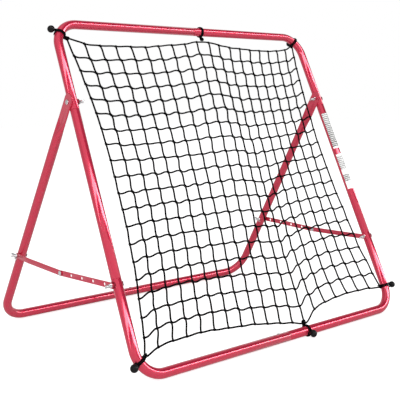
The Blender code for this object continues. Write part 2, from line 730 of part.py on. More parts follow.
def loop_path(ball_turn, ball_reach, hook_depth, steps=9):
    """Path of a bungee in the plane across the tube, as points (out, back) from the tube's axis.

    It leaves the ball, wraps the tube, turns round the net's cord and comes back to the ball.
    """
    half = STRAND_HALF
    neck = Vector((ball_reach - BALL_R + NECK_CLEAR, half))
    inside = Vector((ball_reach - BALL_R + CORD_IN_BALL, half))
    touch = math.acos(LOOP_R / neck.length) + math.atan2(half, neck.x)
    hook_touch = math.acos((LOOP_R - HOOK_R) / hook_depth)
    turn = Matrix.Rotation(ball_turn, 2)
    start = [turn @ inside, turn @ neck]
    end = [turn @ Vector((neck.x, -half)), turn @ Vector((inside.x, -half))]
    points = list(start)
    points += arc((0, 0), LOOP_R, ball_turn + touch, math.pi - hook_touch, steps)
    points += arc((-hook_depth, 0), HOOK_R, math.pi - hook_touch, math.pi + hook_touch, 5)
    points += arc((0, 0), LOOP_R, math.pi + hook_touch, 2 * math.pi + ball_turn - touch, steps)
    return points + end


def arc(centre, radius, start, end, most):
    """Points on an arc, no further apart than a full turn over 14."""
    count = max(1, min(most, math.ceil(abs(end - start) / (2 * math.pi / 14))))
    points = []
    for k in range(count + 1):
        angle = start + (end - start) * k / count
        points.append(Vector((centre[0] + radius * math.cos(angle), centre[1] + radius * math.sin(angle))))
    return points


def squashed(point, floor_turn):
    """Where a cord passes under the tube it lies pressed flat: its place, and its height share."""
    angle = math.atan2(point.y, point.x) - floor_turn
    angle = (angle + math.pi) % (2 * math.pi) - math.pi
    near = min(1.0, 2.5 * max(0.0, 1 - abs(angle) / FLAT_REACH))
    share = 1 - (1 - FLAT_SHARE) * near
    reach = point.length - near * (LOOP_R - TUBE_R - GAP - CORD_R * FLAT_SHARE)
    return point.normalized() * reach, share


def bungee(name, anchor, out, ball_turn, ball_reach, hook_depth, frame, floor_turn=None):
    """A ball and its cord loop, round the tube at anchor. out points away from the net."""
    out = Vector(out).normalized()
    back = Vector((0.0, 1.0, 0.0))
    run = out.cross(back)
    path = loop_path(ball_turn, ball_reach, hook_depth)
    path = [p for k, p in enumerate(path) if k == 0 or (p - path[k - 1]).length > 1e-6]
    work = bmesh.new()
    rings = []
    for k, point in enumerate(path):
        before = path[max(k - 1, 0)]
        after = path[min(k + 1, len(path) - 1)]
        heading = (after - before).normalized()
        normal = Vector((heading.y, -heading.x))
        share = 1.0
        if floor_turn is not None and point.length < LOOP_R + 0.0005:
            point, share = squashed(point, floor_turn)
        ring = []
        for side in range(6):
            angle = 2 * math.pi * side / 6
            flat = point + normal * CORD_R * share * math.cos(angle)
            wide = CORD_R / math.sqrt(share) * math.sin(angle)
            ring.append(work.verts.new(anchor + out * flat.x + back * flat.y + run * wide))
        rings.append(ring)
    for one, other in zip(rings, rings[1:]):
        for side in range(6):
            after = (side + 1) % 6
            work.faces.new((one[side], one[after], other[after], other[side]))
    work.faces.new(rings[0])
    work.faces.new(rings[-1])
    obj = new_object(f"{name}_cord", to_mesh(f"{name}_cord", work))
    finish_node(obj, "black_cord", frame, sharp=70)
    ball_out = out * math.cos(ball_turn) + back * math.sin(ball_turn)
    ball(f"{name}_ball", anchor + ball_out * ball_reach, -ball_out, frame)


def ball(name, centre, mouth, frame):
    """A ball with a blind bore for its cord, open towards mouth."""
    profile = [(0.0, -BALL_R)]
    steps = 6
    last = math.acos(BALL_BORE / BALL_R)
    for k in range(1, steps + 1):
        angle = -math.pi / 2 + (last + math.pi / 2) * k / steps
        profile.append((BALL_R * math.cos(angle), BALL_R * math.sin(angle)))
    profile += [(BALL_BORE, -0.0005), (0.0, -0.0005)]
    obj = new_object(name, turned(name, profile, 12))
    return finish_node(obj, "black_ball", frame, along(centre, mouth), sharp=50)


def cell_shift(corner, out):
    """How far along the tube a corner's loop moves, so that it turns inside the net's corner cell."""
    u = 0.0 if "left" in corner else 1.0
    t = 0.0 if "top" in corner else 1.0
    step = 1 / CELLS
    knot = net_point(u, t)
    across = (net_point(abs(u - step), t) - knot).normalized()
    down = (net_point(u, abs(t - step)) - knot).normalized()
    middle = (across + down).normalized()
    run = out.cross(Vector((0.0, 1.0, 0.0)))
    return HOOK_R * middle.dot(run) / middle.dot(-out)


def bungees(frame):
    for corner, plan in CORNERS.items():
        angle = math.radians(plan.angle)
        out = Vector((math.cos(angle), 0.0, math.sin(angle)))
        anchor = corner_centre(corner) + out * BEND_R
        anchor += out.cross(Vector((0.0, 1.0, 0.0))) * cell_shift(corner, out)
        turn = math.radians(plan.turn)
        bungee(f"{corner}_bungee", anchor, out, turn, plan.reach, HOOK_DEPTH, frame)
    half_cell = 0.5 / CELLS
    before = net_point(TOP_HOOK_SHARE - half_cell, 0.0)
    held = before.lerp(net_point(TOP_HOOK_SHARE + half_cell, 0.0), 0.5)
    top = Vector((held.x, 0.0, FRAME_L))
    depth = FRAME_L - held.z
    bungee("top_middle_bungee", top, (0, 0, 1), TOP_MIDDLE_TURN, MIDDLE_REACH, depth, frame)
    bottom = Vector((BOTTOM_HOOK_X - KNOT_CLEAR, 0.0, 0.0))
    bungee("bottom_middle_bungee", bottom, (0, 0, -1), BOTTOM_MIDDLE_TURN, MIDDLE_REACH,
           HOOK_DEPTH, frame, TILT)


def labels(frame):
    """Blank printed labels wrapped part of the way round the right side tube."""
    for name, (low, high) in LABELS.items():
        work = bmesh.new()
        rings = []
        near, far = TUBE_R + GAP, TUBE_R + GAP + LABEL_T
        for radius, s in ((near, low), (near, high), (far, high), (far, low)):
            ring = []
            for k, (out, side) in enumerate(section(radius, radius, FRAME_PHASE, 0.0)):
                if k in LABEL_CORNERS:
                    ring.append(work.verts.new((SIDE_X + out, side, s)))
            rings.append(ring)
        for one, other in zip(rings, rings[1:] + rings[:1]):
            for a, b, c, d in zip(one, one[1:], other[1:], other):
                work.faces.new((a, b, c, d))
        work.faces.new([ring[0] for ring in rings])
        work.faces.new([ring[-1] for ring in rings])
        obj = new_object(name, to_mesh(name, work))
        finish_node(obj, "white_label", frame)


# ---- the object ------------------------------------------------------------------------------

def main():
    clear_scene()
    frame = empty("frame_base", (0, 0, AXIS_Z), -TILT)
    stand = empty("stand_pivot", PIVOT, LEG_ANGLE)
    corner_tube("frame_top_left_tube", -1, True, SEAM_TOP_X, SEAM_UPPER_S, frame)
    corner_tube("frame_top_right_tube", 1, True, SEAM_TOP_X, SEAM_UPPER_S, frame)
    corner_tube("frame_bottom_left_tube", -1, False, SEAM_BOTTOM_X, SEAM_LOWER_S, frame)
    corner_tube("frame_bottom_right_tube", 1, False, SEAM_BOTTOM_X, SEAM_LOWER_S, frame)
    middle_tube("frame_left_middle_tube", -1, frame)
    middle_tube("frame_right_middle_tube", 1, frame)
    stand_tube("stand_left_tube", -1, stand)
    stand_tube("stand_right_tube", 1, stand)
    brace("left", -1, True, SAG_LEFT, frame, stand)
    brace("right", 1, False, SAG_RIGHT, frame, stand)
    fasteners(frame, stand)
    net(frame)
    bungees(frame)
    labels(frame)


main()
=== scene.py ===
"""Looks of the pitching target net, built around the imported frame.

Places come from the frame's boxes, joints and vertices. "Plane" coordinates belong to the leaning
frame or to the stand: x to the right, y square to the plane and to the rear, z along the side tubes.
"""

import json
import math
from collections import namedtuple

import bmesh
import bpy
import numpy as np
from mathutils import Matrix, Vector

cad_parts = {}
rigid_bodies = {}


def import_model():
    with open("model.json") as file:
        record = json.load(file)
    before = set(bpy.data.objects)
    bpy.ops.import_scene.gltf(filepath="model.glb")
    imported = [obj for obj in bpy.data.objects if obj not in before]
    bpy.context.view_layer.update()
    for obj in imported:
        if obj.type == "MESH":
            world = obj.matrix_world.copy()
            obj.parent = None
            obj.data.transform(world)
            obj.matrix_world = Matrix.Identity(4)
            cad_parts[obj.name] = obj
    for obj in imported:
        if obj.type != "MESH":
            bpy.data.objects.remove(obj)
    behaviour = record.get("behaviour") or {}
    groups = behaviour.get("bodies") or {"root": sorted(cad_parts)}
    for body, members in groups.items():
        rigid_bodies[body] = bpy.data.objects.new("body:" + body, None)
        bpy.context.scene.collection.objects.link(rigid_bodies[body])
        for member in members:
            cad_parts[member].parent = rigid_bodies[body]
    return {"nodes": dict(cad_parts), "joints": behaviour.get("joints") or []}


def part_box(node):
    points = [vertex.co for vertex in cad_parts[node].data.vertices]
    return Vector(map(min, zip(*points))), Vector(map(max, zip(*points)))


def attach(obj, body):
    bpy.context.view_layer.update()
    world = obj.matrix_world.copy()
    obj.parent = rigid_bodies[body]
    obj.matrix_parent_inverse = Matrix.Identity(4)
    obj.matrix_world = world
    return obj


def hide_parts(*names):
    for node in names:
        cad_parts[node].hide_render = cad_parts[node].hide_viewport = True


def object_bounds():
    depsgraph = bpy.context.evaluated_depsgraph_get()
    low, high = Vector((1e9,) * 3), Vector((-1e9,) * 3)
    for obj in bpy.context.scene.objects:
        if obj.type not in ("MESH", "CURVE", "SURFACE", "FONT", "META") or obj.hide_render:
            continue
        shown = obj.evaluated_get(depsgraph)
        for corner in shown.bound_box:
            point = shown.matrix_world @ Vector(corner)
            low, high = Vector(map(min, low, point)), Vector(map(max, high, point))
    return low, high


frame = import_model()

CAD_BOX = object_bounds()
JOINTS = {joint["name"]: joint for joint in frame["joints"]}

# Tubes.
TUBE_R = 0.0125
WALL = 0.0012
SPIGOT_R = 0.0110
SPIGOT_L = 0.045
SIDES = 40
GAP = 0.0003
RIM = 0.0007                # chamfer at a tube's end
BEND_R = 0.067
BEND_STEPS = 16

# Flattened leg ends.
FLAT_HALF = 0.0015
FLAT_TIP = 0.023
FLAT_END = 0.045
ROUND_START = 0.115
CREASE_REACH = 0.024        # the flat runs this much further down its middle than at its edges

# Brace bars.
BAR_HALF_W = 0.0072
BAR_T = 0.0015
BAR_HOLE_R = 0.0037
BAR_STRAIGHT = 0.070
BAR_LEVEL = 0.015
BAR_FIRST_HOLE = 0.031
BAR_HOLES = 5

# Fasteners.
BOLT_R = 0.003
HOLE_R = 0.0033
HEAD_H = 0.0034
THREAD_PITCH = 0.001
THREAD_DEPTH = 0.00045
THREADED_L = 0.019          # most of a shank's length that is threaded
TIP_L = 0.0125              # of a middle bolt, beyond its bar
HUB_R = 0.0056
HUB_H = 0.0065
EAR_R = 0.0036
WING_HALF_T = 0.0011

# Net.
CELLS = 19
CORD_R = 0.0024
SEGMENT_STEPS = 8
CORD_SIDES = 8
TOP_SAG = 0.0765            # edges drop quickly from a corner, then run almost straight
BOTTOM_SAG = 0.089
EDGE_STEEP = 0.62           # the power that sets how quickly
SIDE_SAG = 0.135
CORNER_PULL = 0.0125        # the left edge's first cells are drawn longer
BESIDE_HOOK = 0.0041        # the bottom edge's knot is beside its hook, at the right
TOP_HOOK_SHARE = 9.5 / CELLS
BOTTOM_HOOK_SHARE = 12 / CELLS
ROW_TWIST = -0.44           # how far a row's cord turns at its knots, as a slope
COLUMN_TWIST = 0.29
KNOT_JITTER = 0.0011
KNOT_R = 0.0027
KNOT_CORD_R = 0.0014
PEAK_SPREAD = 0.13          # how quickly the peak at a middle hook widens, as a share of the net
FOLD_HEIGHT = 0.009         # the fold between the middle hooks stands this far out of the plane
FOLD_WIDTH = 0.110

# Bungees.
BUNGEE_R = 0.002
BUNGEE_SIDES = 12
STRAND_GAP = 0.0023         # half the distance between the two strands of a doubled loop
HOOK_R = 0.0045
CORNER_HOOK_DEPTH = 0.0230
MIDDLE_HOOK_DEPTH = 0.0240
BALL_MOUTH_R = 0.0047

# Labels. Their map runs 0 to 0.5 up the lower one and 0.5 to 1 up the upper one; 1 is no ink.
LABEL_INK = ((0.0, 1), (0.10, 1), (0.11, 0.15), (0.20, 0.15), (0.21, 1), (0.27, 1), (0.28, 0.3),
             (0.47, 0.3), (0.48, 1), (0.52, 1), (0.53, 0.0), (0.98, 0.25))
FILM_T = 0.0003

# Studio. A band is a pitch in degrees and a brightness.
STRIP_LIGHT = 8.0
RIGHT_BANDS = ((0, 0.9), (22, 1.0), (24, 0.04), (30, 0.04), (32, 10.0), (44, 10.0), (46, 0.04), (98, 0.04),
               (112, 0.6), (180, 0.7))
LEFT_BANDS = ((0, 0.8), (30, 0.9), (33, 0.1), (38, 0.1), (40, 6.0), (48, 6.0), (51, 0.9), (98, 0.75),
              (112, 0.5), (180, 0.5))
SOFT_LIGHT = 0.68           # from everywhere, on matt surfaces
KEY_LIGHT = 85.0
FLOOR_GLOW = 0.66           # keeps the floor white to the eye, with a faint shadow
FLOOR_HALF = 12.0
WHITE = (1.0, 1.0, 1.0, 1.0)
CAMERA_PLACE = (-1.5021, -1.4862, 0.6718)
CAMERA_DEGREES = (90.251, 0.168, -41.23)
CAMERA_LENS = 70.58
CAMERA_SHIFT = (("shift_x", -0.0696), ("shift_y", -0.2796))

SIDE_SIGNS = (("left", -1), ("right", 1))


# ---- places taken from the frame --

def joint_place(name):
    return Vector(JOINTS[name]["pos_m"])


PIVOT = joint_place("stand_fold")
FRONT_BOLT = joint_place("left_front_brace_swing")
REAR_BOLT = joint_place("left_rear_brace_swing")
TILT = math.atan2(PIVOT.y - FRONT_BOLT.y, PIVOT.z - FRONT_BOLT.z)
LEG_ANGLE = math.atan2(REAR_BOLT.y - PIVOT.y, PIVOT.z - REAR_BOLT.z)
AXIS_Z = PIVOT.z - PIVOT.y / math.tan(TILT)
FRAME_PLANE = Matrix.Translation((0, 0, AXIS_Z)) @ Matrix.Rotation(-TILT, 4, "X")
STAND_PLANE = Matrix.Translation((0, PIVOT.y, PIVOT.z)) @ Matrix.Rotation(LEG_ANGLE, 4, "X")


def local_points(node, plane):
    """Vertices of a CAD node in a plane's coordinates."""
    inverse = plane.inverted()
    return [inverse @ v.co for v in frame["nodes"][node].data.vertices]


def span(node, plane, axis):
    """Least and greatest coordinate of a CAD node along one axis of a plane."""
    values = [point[axis] for point in local_points(node, plane)]
    return min(values), max(values)


def box_centre(node):
    low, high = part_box(node)
    return (low + high) / 2


SIDE_X = box_centre("frame_right_middle_tube").x
FRAME_L = span("frame_top_left_tube", FRAME_PLANE, 2)[1] - TUBE_R
PIVOT_S = (FRAME_PLANE.inverted() @ PIVOT).z
BRACE_S = (FRAME_PLANE.inverted() @ FRONT_BOLT).z
LEG_X = {-1: span("stand_left_tube", STAND_PLANE, 0)[0] + TUBE_R}
LEG_X[1] = span("stand_right_tube", STAND_PLANE, 0)[1] - TUBE_R
LEG_L = (PIVOT.z - AXIS_Z) / math.cos(LEG_ANGLE)
LEG_BRACE_Q = -(STAND_PLANE.inverted() @ REAR_BOLT).z


# ---- materials --------------------

class Nodes:
    """Short calls for building the node tree of a new material or world."""

    def __init__(self, name, world=False):
        self.owner = (bpy.data.worlds if world else bpy.data.materials).new(name)
        self.owner.use_nodes = True
        self.tree = self.owner.node_tree
        self.shader = self.tree.nodes["Background" if world else "Principled BSDF"]

    def add(self, kind, **values):
        """A node. A value goes to the input of that name, with _ for a space, or to the property."""
        node = self.tree.nodes.new(kind)
        for key, value in values.items():
            name = key.replace("_", " ")
            if name in node.inputs:
                node.inputs[name].default_value = value
            else:
                setattr(node, key, value)
        return node

    def link(self, output, target):
        self.tree.links.new(output, target)

    def set(self, **values):
        for key, value in values.items():
            self.shader.inputs[key.replace("_", " ")].default_value = value

    def maths(self, operation, *terms):
        """A calculation's result. A term is a number or another node's output."""
        node = self.add("ShaderNodeMath", operation=operation)
        for target, term in zip(node.inputs, terms):
            if isinstance(term, float):
                target.default_value = term
            else:
                self.link(term, target)
        return node.outputs[0]

    def parts(self, kind, output):
        """The separate coordinates of a texture place."""
        split = self.add("ShaderNodeSeparateXYZ")
        self.link(self.add(kind).outputs[output], split.inputs["Vector"])
        return split.outputs

    def noise(self, scale, detail=2.0):
        place = self.add("ShaderNodeTexCoord")
        node = self.add("ShaderNodeTexNoise", Scale=scale, Detail=detail)
        self.link(place.outputs["Object"], node.inputs["Vector"])
        return node.outputs["Fac"]

    def ramp(self, value, stops):
        node = self.add("ShaderNodeValToRGB")
        elements = node.color_ramp.elements
        while len(elements) < len(stops):
            elements.new(0.5)
        for element, (place, colour) in zip(elements, stops):
            element.position = place
            element.color = (*colour, 1.0)
        self.link(value, node.inputs["Fac"])
        return node.outputs["Color"]

    def spread(self, value, low, high, least=0.0, most=1.0):
        """A value between least and most, spread from low to high."""
        node = self.add("ShaderNodeMapRange", From_Min=least, From_Max=most, To_Min=low, To_Max=high)
        self.link(value, node.inputs["Value"])
        return node.outputs["Result"]

    def bump(self, height, distance, strength=1.0):
        node = self.add("ShaderNodeBump", Strength=strength, Distance=distance)
        self.link(height, node.inputs["Height"])
        self.link(node.outputs["Normal"], self.shader.inputs["Normal"])

    def mixed(self, share, one, other):
        """Two shaders mixed by a share of the other."""
        node = self.add("ShaderNodeMixShader")
        for output, target in zip((share, one, other), node.inputs):
            self.link(output, target)
        return node.outputs[0]


def scaled(colour, factor):
    return tuple(channel * factor for channel in colour)


def greys(stops, place_unit=1.0, level_unit=1.0):
    """Ramp stops of grey from (place, level) pairs."""
    return [(place / place_unit, (level / level_unit,) * 3) for place, level in stops]


def red_paint():
    """Crimson paint with a metallic base under a clear coat: slow drift of colour and gloss."""
    base = (0.62, 0.028, 0.072)
    nodes = Nodes("red_paint")
    drift = nodes.noise(14.0)
    tone = nodes.ramp(drift, [(0.30, scaled(base, 0.97)), (0.70, scaled(base, 1.03))])
    nodes.link(tone, nodes.shader.inputs["Base Color"])
    nodes.link(nodes.spread(nodes.noise(40.0), 0.13, 0.16), nodes.shader.inputs["Roughness"])
    nodes.set(Metallic=0.45, Specular_IOR_Level=0.0)
    nodes.set(Coat_Weight=1.0, Coat_Roughness=0.03, Coat_IOR=1.55)
    return nodes.owner


def zinc():
    """Bright zinc plate: fine grain and a faint cool mottle."""
    nodes = Nodes("zinc")
    tone = nodes.ramp(nodes.noise(420.0, 4.0), [(0.3, (0.60, 0.61, 0.63)), (0.7, (0.83, 0.83, 0.83))])
    nodes.link(tone, nodes.shader.inputs["Base Color"])
    nodes.link(nodes.spread(nodes.noise(900.0, 3.0), 0.22, 0.42), nodes.shader.inputs["Roughness"])
    nodes.set(Metallic=1.0)
    nodes.bump(nodes.noise(2400.0), 0.00003, 0.5)
    return nodes.owner


def moulded(name, base, roughness, grain=1500.0):
    """Moulded plastic: fine skin texture and slight variation of gloss."""
    nodes = Nodes(name)
    tone = nodes.ramp(nodes.noise(260.0), [(0.3, scaled(base, 0.85)), (0.7, scaled(base, 1.15))])
    nodes.link(tone, nodes.shader.inputs["Base Color"])
    nodes.link(nodes.spread(nodes.noise(500.0, 3.0), roughness * 0.85, roughness * 1.2),
               nodes.shader.inputs["Roughness"])
    nodes.set(Specular_IOR_Level=0.18)
    nodes.bump(nodes.noise(grain), 0.00004, 0.4)
    return nodes.owner


def cord(name, turns_across, turns_along, base=(0.0025, 0.0025, 0.003)):
    """Twisted or braided cord. Its strands follow the mesh's own map: round it, then along it."""
    nodes = Nodes(name)
    parts = nodes.parts("ShaderNodeUVMap", "UV")
    braided = turns_across > 3
    waves = []
    for sense in ((1, -1) if braided else (1,)):
        around = nodes.maths("MULTIPLY", parts["X"], 2 * math.pi * turns_across * sense)
        run = nodes.maths("MULTIPLY_ADD", parts["Y"], 2 * math.pi * turns_along, around)
        waves.append(nodes.maths("SINE", run))
    height = nodes.maths("MAXIMUM", *waves) if braided else waves[0]
    share = nodes.spread(height, 0.0, 1.0, -1.0)
    # Painted shade and light: the colour is darkened to 0.4 of the base in the grooves between strands and
    # lightened to 1.5 of it on their crests.
    tone = nodes.ramp(share, [(0.0, scaled(base, 0.4)), (1.0, scaled(base, 1.5))])
    nodes.link(tone, nodes.shader.inputs["Base Color"])
    nodes.set(Roughness=0.9, Specular_IOR_Level=0.05)
    nodes.bump(share, 0.0004, 0.6)
    return nodes.owner


def label_film():
    """White film with plain grey bars, which stand for print and spell nothing."""
    nodes = Nodes("label_film")
    place = nodes.add("ShaderNodeUVMap")
    film = (0.95, 0.95, 0.94, 1.0)
    bars = nodes.add("ShaderNodeTexBrick", offset=0.37, squash=1.0, Scale=1.0, Brick_Width=0.30,
                     Row_Height=0.026, Mortar_Size=0.0030, Mortar_Smooth=0.1, Bias=0.0, Mortar=film,
                     Color1=(0.02, 0.02, 0.02, 1.0), Color2=(0.22, 0.22, 0.22, 1.0))
    nodes.link(place.outputs["UV"], bars.inputs["Vector"])
    bare = nodes.ramp(nodes.parts("ShaderNodeUVMap", "UV")["Y"], greys(LABEL_INK))
    inked = nodes.add("ShaderNodeMix", data_type="RGBA")
    inked.inputs[7].default_value = film
    nodes.link(bare, inked.inputs[0])
    nodes.link(bars.outputs["Color"], inked.inputs[6])
    nodes.link(inked.outputs[2], nodes.shader.inputs["Base Color"])
    # Painted light: the film also glows faintly in its own colours, though it is no lamp.
    nodes.link(inked.outputs[2], nodes.shader.inputs["Emission Color"])
    nodes.set(Emission_Strength=0.22)
    nodes.link(nodes.spread(nodes.noise(300.0), 0.32, 0.45), nodes.shader.inputs["Roughness"])
    return nodes.owner


LOOKS = {
    "red_paint": red_paint(),
    "zinc_fasteners": zinc(),
    "washer_plastic": moulded("washer_plastic", (0.20, 0.010, 0.022), 0.38),
    "net_cord": cord("net_cord", 2, 130.0),
    "bungee_cord": cord("bungee_cord", 6, 260.0),
    "bungee_ball": moulded("bungee_ball", (0.004, 0.004, 0.0045), 0.45),
    "label_film": label_film(),
}


# ---- mesh helpers -----------------

def add_object(name, data):
    obj = bpy.data.objects.new(name, data)
    bpy.context.scene.collection.objects.link(obj)
    return obj


def new_mesh(name, verts, faces, uvs=None):
    mesh = bpy.data.meshes.new(name)
    mesh.from_pydata([tuple(v) for v in verts], [], faces)
    if uvs is not None:
        layer = mesh.uv_layers.new(name="cord")
        flat = [value for face in uvs for pair in face for value in pair]
        layer.data.foreach_set("uv", flat)
    work = bmesh.new()
    work.from_mesh(mesh)
    bmesh.ops.recalc_face_normals(work, faces=work.faces)
    work.to_mesh(mesh)
    work.free()
    return mesh


def piece(name, mesh, body, slot, nodes=(), plane=None, sharp=38.0):
    """A shown object: placed, finished, riding on its body, and standing for its CAD nodes."""
    obj = add_object(name, mesh)
    if plane is not None:
        mesh.transform(plane)
    mesh.materials.clear()
    mesh.materials.append(LOOKS[slot])
    mesh.shade_smooth()
    mesh.set_sharp_from_angle(angle=math.radians(sharp))
    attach(obj, body)
    if nodes:
        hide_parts(*nodes)
    return obj


def taken(target, *tools):
    """The target's mesh with its modifiers. The target and its tools are then removed."""
    graph = bpy.context.evaluated_depsgraph_get()
    result = bpy.data.meshes.new_from_object(target.evaluated_get(graph))
    for obj in (target, *tools):
        bpy.data.objects.remove(obj, do_unlink=True)
    return result


def cut(mesh, cutters, operation="DIFFERENCE"):
    """The mesh less, or joined with, the cutters, by exact Booleans."""
    target = add_object("target", mesh)
    tools = [add_object("tool", cutter) for cutter in cutters]
    for tool in tools:
        modifier = target.modifiers.new("cut", "BOOLEAN")
        modifier.operation = operation
        modifier.solver = "EXACT"
        modifier.object = tool
    return taken(target, *tools)


def add_bevel(obj, width, angle):
    modifier = obj.modifiers.new("edges", "BEVEL")
    modifier.width = width
    modifier.segments = 2
    modifier.limit_method = "ANGLE"
    modifier.angle_limit = math.radians(angle)


def bevelled(mesh, width):
    obj = add_object("bevelled", mesh)
    add_bevel(obj, width, 40.0)
    return taken(obj)


def along(origin, direction):
    """A placement whose +Z runs along direction."""
    turn = Vector(direction).to_track_quat("Z", "Y").to_matrix().to_4x4()
    return Matrix.Translation(Vector(origin)) @ turn


def rod(start, end, radius, segments=24):
    start, end = Vector(start), Vector(end)
    work = bmesh.new()
    place = along((start + end) / 2, end - start)
    bmesh.ops.create_cone(work, cap_ends=True, segments=segments, radius1=radius, radius2=radius,
                          depth=(end - start).length, matrix=place)
    mesh = bpy.data.meshes.new("rod")
    work.to_mesh(mesh)
    work.free()
    return mesh


def circle(radius, z, sides):
    turns = [2 * math.pi * k / sides for k in range(sides)]
    return [(radius * math.cos(turn), radius * math.sin(turn), z) for turn in turns]


def band(one, other, sides):
    """Faces between two rings of vertices, given by their first ones."""
    return [(one + k, one + (k + 1) % sides, other + (k + 1) % sides, other + k) for k in range(sides)]


def plate(name, one, other):
    """A flat solid between two equal outlines."""
    count = len(one)
    faces = [list(range(count)), list(range(2 * count - 1, count - 1, -1))]
    return new_mesh(name, one + other, faces + band(0, count, count))


def turned(profile, segments=32):
    """A solid of revolution about Z through (radius, z) points, closed on the axis at both ends."""
    verts, faces, rings = [], [], []
    for radius, z in profile:
        count = 1 if radius == 0.0 else segments
        rings.append(range(len(verts), len(verts) + count))
        verts += circle(radius, z, segments)[:count]
    for low, high in zip(rings, rings[1:]):
        for k in range(segments):
            after = (k + 1) % segments
            corners = [low[k % len(low)], low[after % len(low)]]
            corners += [high[after % len(high)], high[k % len(high)]]
            faces.append(list(dict.fromkeys(corners)))
    return new_mesh("turned", verts, faces)


# ---- tubes ------------------------

Stop = namedtuple("Stop", "x z out_x out_z radius half width")


def section(radius, half, inset):
    """Ring of (out, side) offsets of a tube pressed to a thickness of 2 * half, less a wall."""
    flat = math.pi * (radius - half) / 2
    quarter = flat + math.pi * half / 2
    ring = []
    for k in range(SIDES):
        turn = (k + 0.5) / SIDES * 4.0
        quadrant = int(turn)
        reach = (turn - quadrant) * quarter
        if quadrant % 2:
            reach = quarter - reach
        if reach < flat:
            out, side = half - inset, reach
        else:
            angle = (reach - flat) / half
            out = (half - inset) * math.cos(angle)
            side = flat + (half - inset) * math.sin(angle)
        out_sign = 1 if quadrant in (0, 3) else -1
        side_sign = 1 if quadrant in (0, 1) else -1
        ring.append((out_sign * out, side_sign * side))
    return ring


def crease_shift(stop, side):
    """How far a point of a flattened leg slides down it, so that the crease runs as a V."""
    if stop.half >= stop.radius or stop.z > -FLAT_END + 1e-6:
        return 0.0
    share = (-stop.z - FLAT_END) / (ROUND_START - FLAT_END)
    edge = min(1.0, abs(side) / (math.pi * stop.radius / 2))
    return -CREASE_REACH * (1.0 - edge) * (1.0 - share) ** 2


def tube(stops):
    """A hollow tube through the stops, open at both ends."""
    verts, rings = [], {0.0: [], WALL: []}
    for stop in stops:
        for inset, made in rings.items():
            first = len(verts)
            for out, side in section(stop.radius, stop.half, inset):
                slide = crease_shift(stop, side)
                verts.append((stop.x + stop.out_x * out, side * stop.width,
                              stop.z + stop.out_z * out + slide))
            made.append(first)
    outer, inner = rings[0.0], rings[WALL]
    joined = list(zip(outer, outer[1:])) + list(zip(inner, inner[1:]))
    joined += [(outer[0], inner[0]), (outer[-1], inner[-1])]
    faces = [face for one, other in joined for face in band(one, other, SIDES)]
    return new_mesh("tube", verts, faces)


def round_stop(x, z, out_x, out_z, radius=TUBE_R):
    return Stop(x, z, out_x, out_z, radius, radius, 1.0)


def rim(x, z, out_x, out_z, inward):
    """Two stops that chamfer a tube's end. inward is the step from the end into the tube."""
    end = round_stop(x, z, out_x, out_z, TUBE_R - RIM / 2)
    return [end, round_stop(x + inward[0] * RIM, z + inward[1] * RIM, out_x, out_z)]


def bend(centre_x, centre_z, sign_x, sign_z):
    stops = []
    for k in range(BEND_STEPS + 1):
        angle = math.pi / 2 * k / BEND_STEPS
        out_x = sign_x * math.sin(angle)
        out_z = sign_z * math.cos(angle)
        stops.append(round_stop(centre_x + BEND_R * out_x, centre_z + BEND_R * out_z, out_x, out_z))
    return stops


def across(x, z, radius=HOLE_R):
    reach = TUBE_R + 0.01
    return rod((x - reach, 0, z), (x + reach, 0, z), radius)


def corner_tubes():
    """Each ends at its seams. The right ones carry the spigots that enter the left ones."""
    for level_name, sign_z, level in (("top", 1, FRAME_L), ("bottom", -1, 0.0)):
        seam_x = span(f"frame_{level_name}_left_tube", FRAME_PLANE, 0)[1] + GAP
        ends = span(f"frame_{level_name}_left_tube", FRAME_PLANE, 2)
        seam_s = ends[0] if level_name == "top" else ends[1]
        for side, sign_x in SIDE_SIGNS:
            stops = []
            if sign_x > 0:
                stops.append(round_stop(seam_x - SPIGOT_L, level, 0, sign_z, SPIGOT_R))
                stops.append(round_stop(seam_x, level, 0, sign_z, SPIGOT_R))
            stops += rim(seam_x + sign_x * GAP, level, 0, sign_z, (sign_x, 0))
            stops += bend(sign_x * (SIDE_X - BEND_R), level - sign_z * BEND_R, sign_x, sign_z)
            stops += reversed(rim(sign_x * SIDE_X, seam_s, sign_x, 0, (0, sign_z)))
            hole = PIVOT_S if level_name == "top" else BRACE_S
            mesh = cut(tube(stops), [across(sign_x * SIDE_X, hole)])
            node = f"frame_{level_name}_{side}_tube"
            piece(f"{level_name}_{side}_frame_tube", mesh, "frame", "red_paint", [node], FRAME_PLANE)


def middle_tubes():
    """Straight, with a spigot at both ends."""
    for side, sign_x in SIDE_SIGNS:
        x = sign_x * SIDE_X
        node = f"frame_{side}_middle_tube"
        low, high = span(node, FRAME_PLANE, 2)
        low_seam, high_seam = low + SPIGOT_L, high - SPIGOT_L
        stops = [round_stop(x, high, sign_x, 0, SPIGOT_R), round_stop(x, high_seam, sign_x, 0, SPIGOT_R)]
        stops += rim(x, high_seam - GAP, sign_x, 0, (0, -1))
        stops += reversed(rim(x, low_seam + GAP, sign_x, 0, (0, 1)))
        stops += [round_stop(x, low_seam, sign_x, 0, SPIGOT_R), round_stop(x, low, sign_x, 0, SPIGOT_R)]
        mesh = cut(tube(stops), [across(x, PIVOT_S), across(x, BRACE_S)])
        piece(f"{side}_middle_frame_tube", mesh, "frame", "red_paint", [node], FRAME_PLANE)


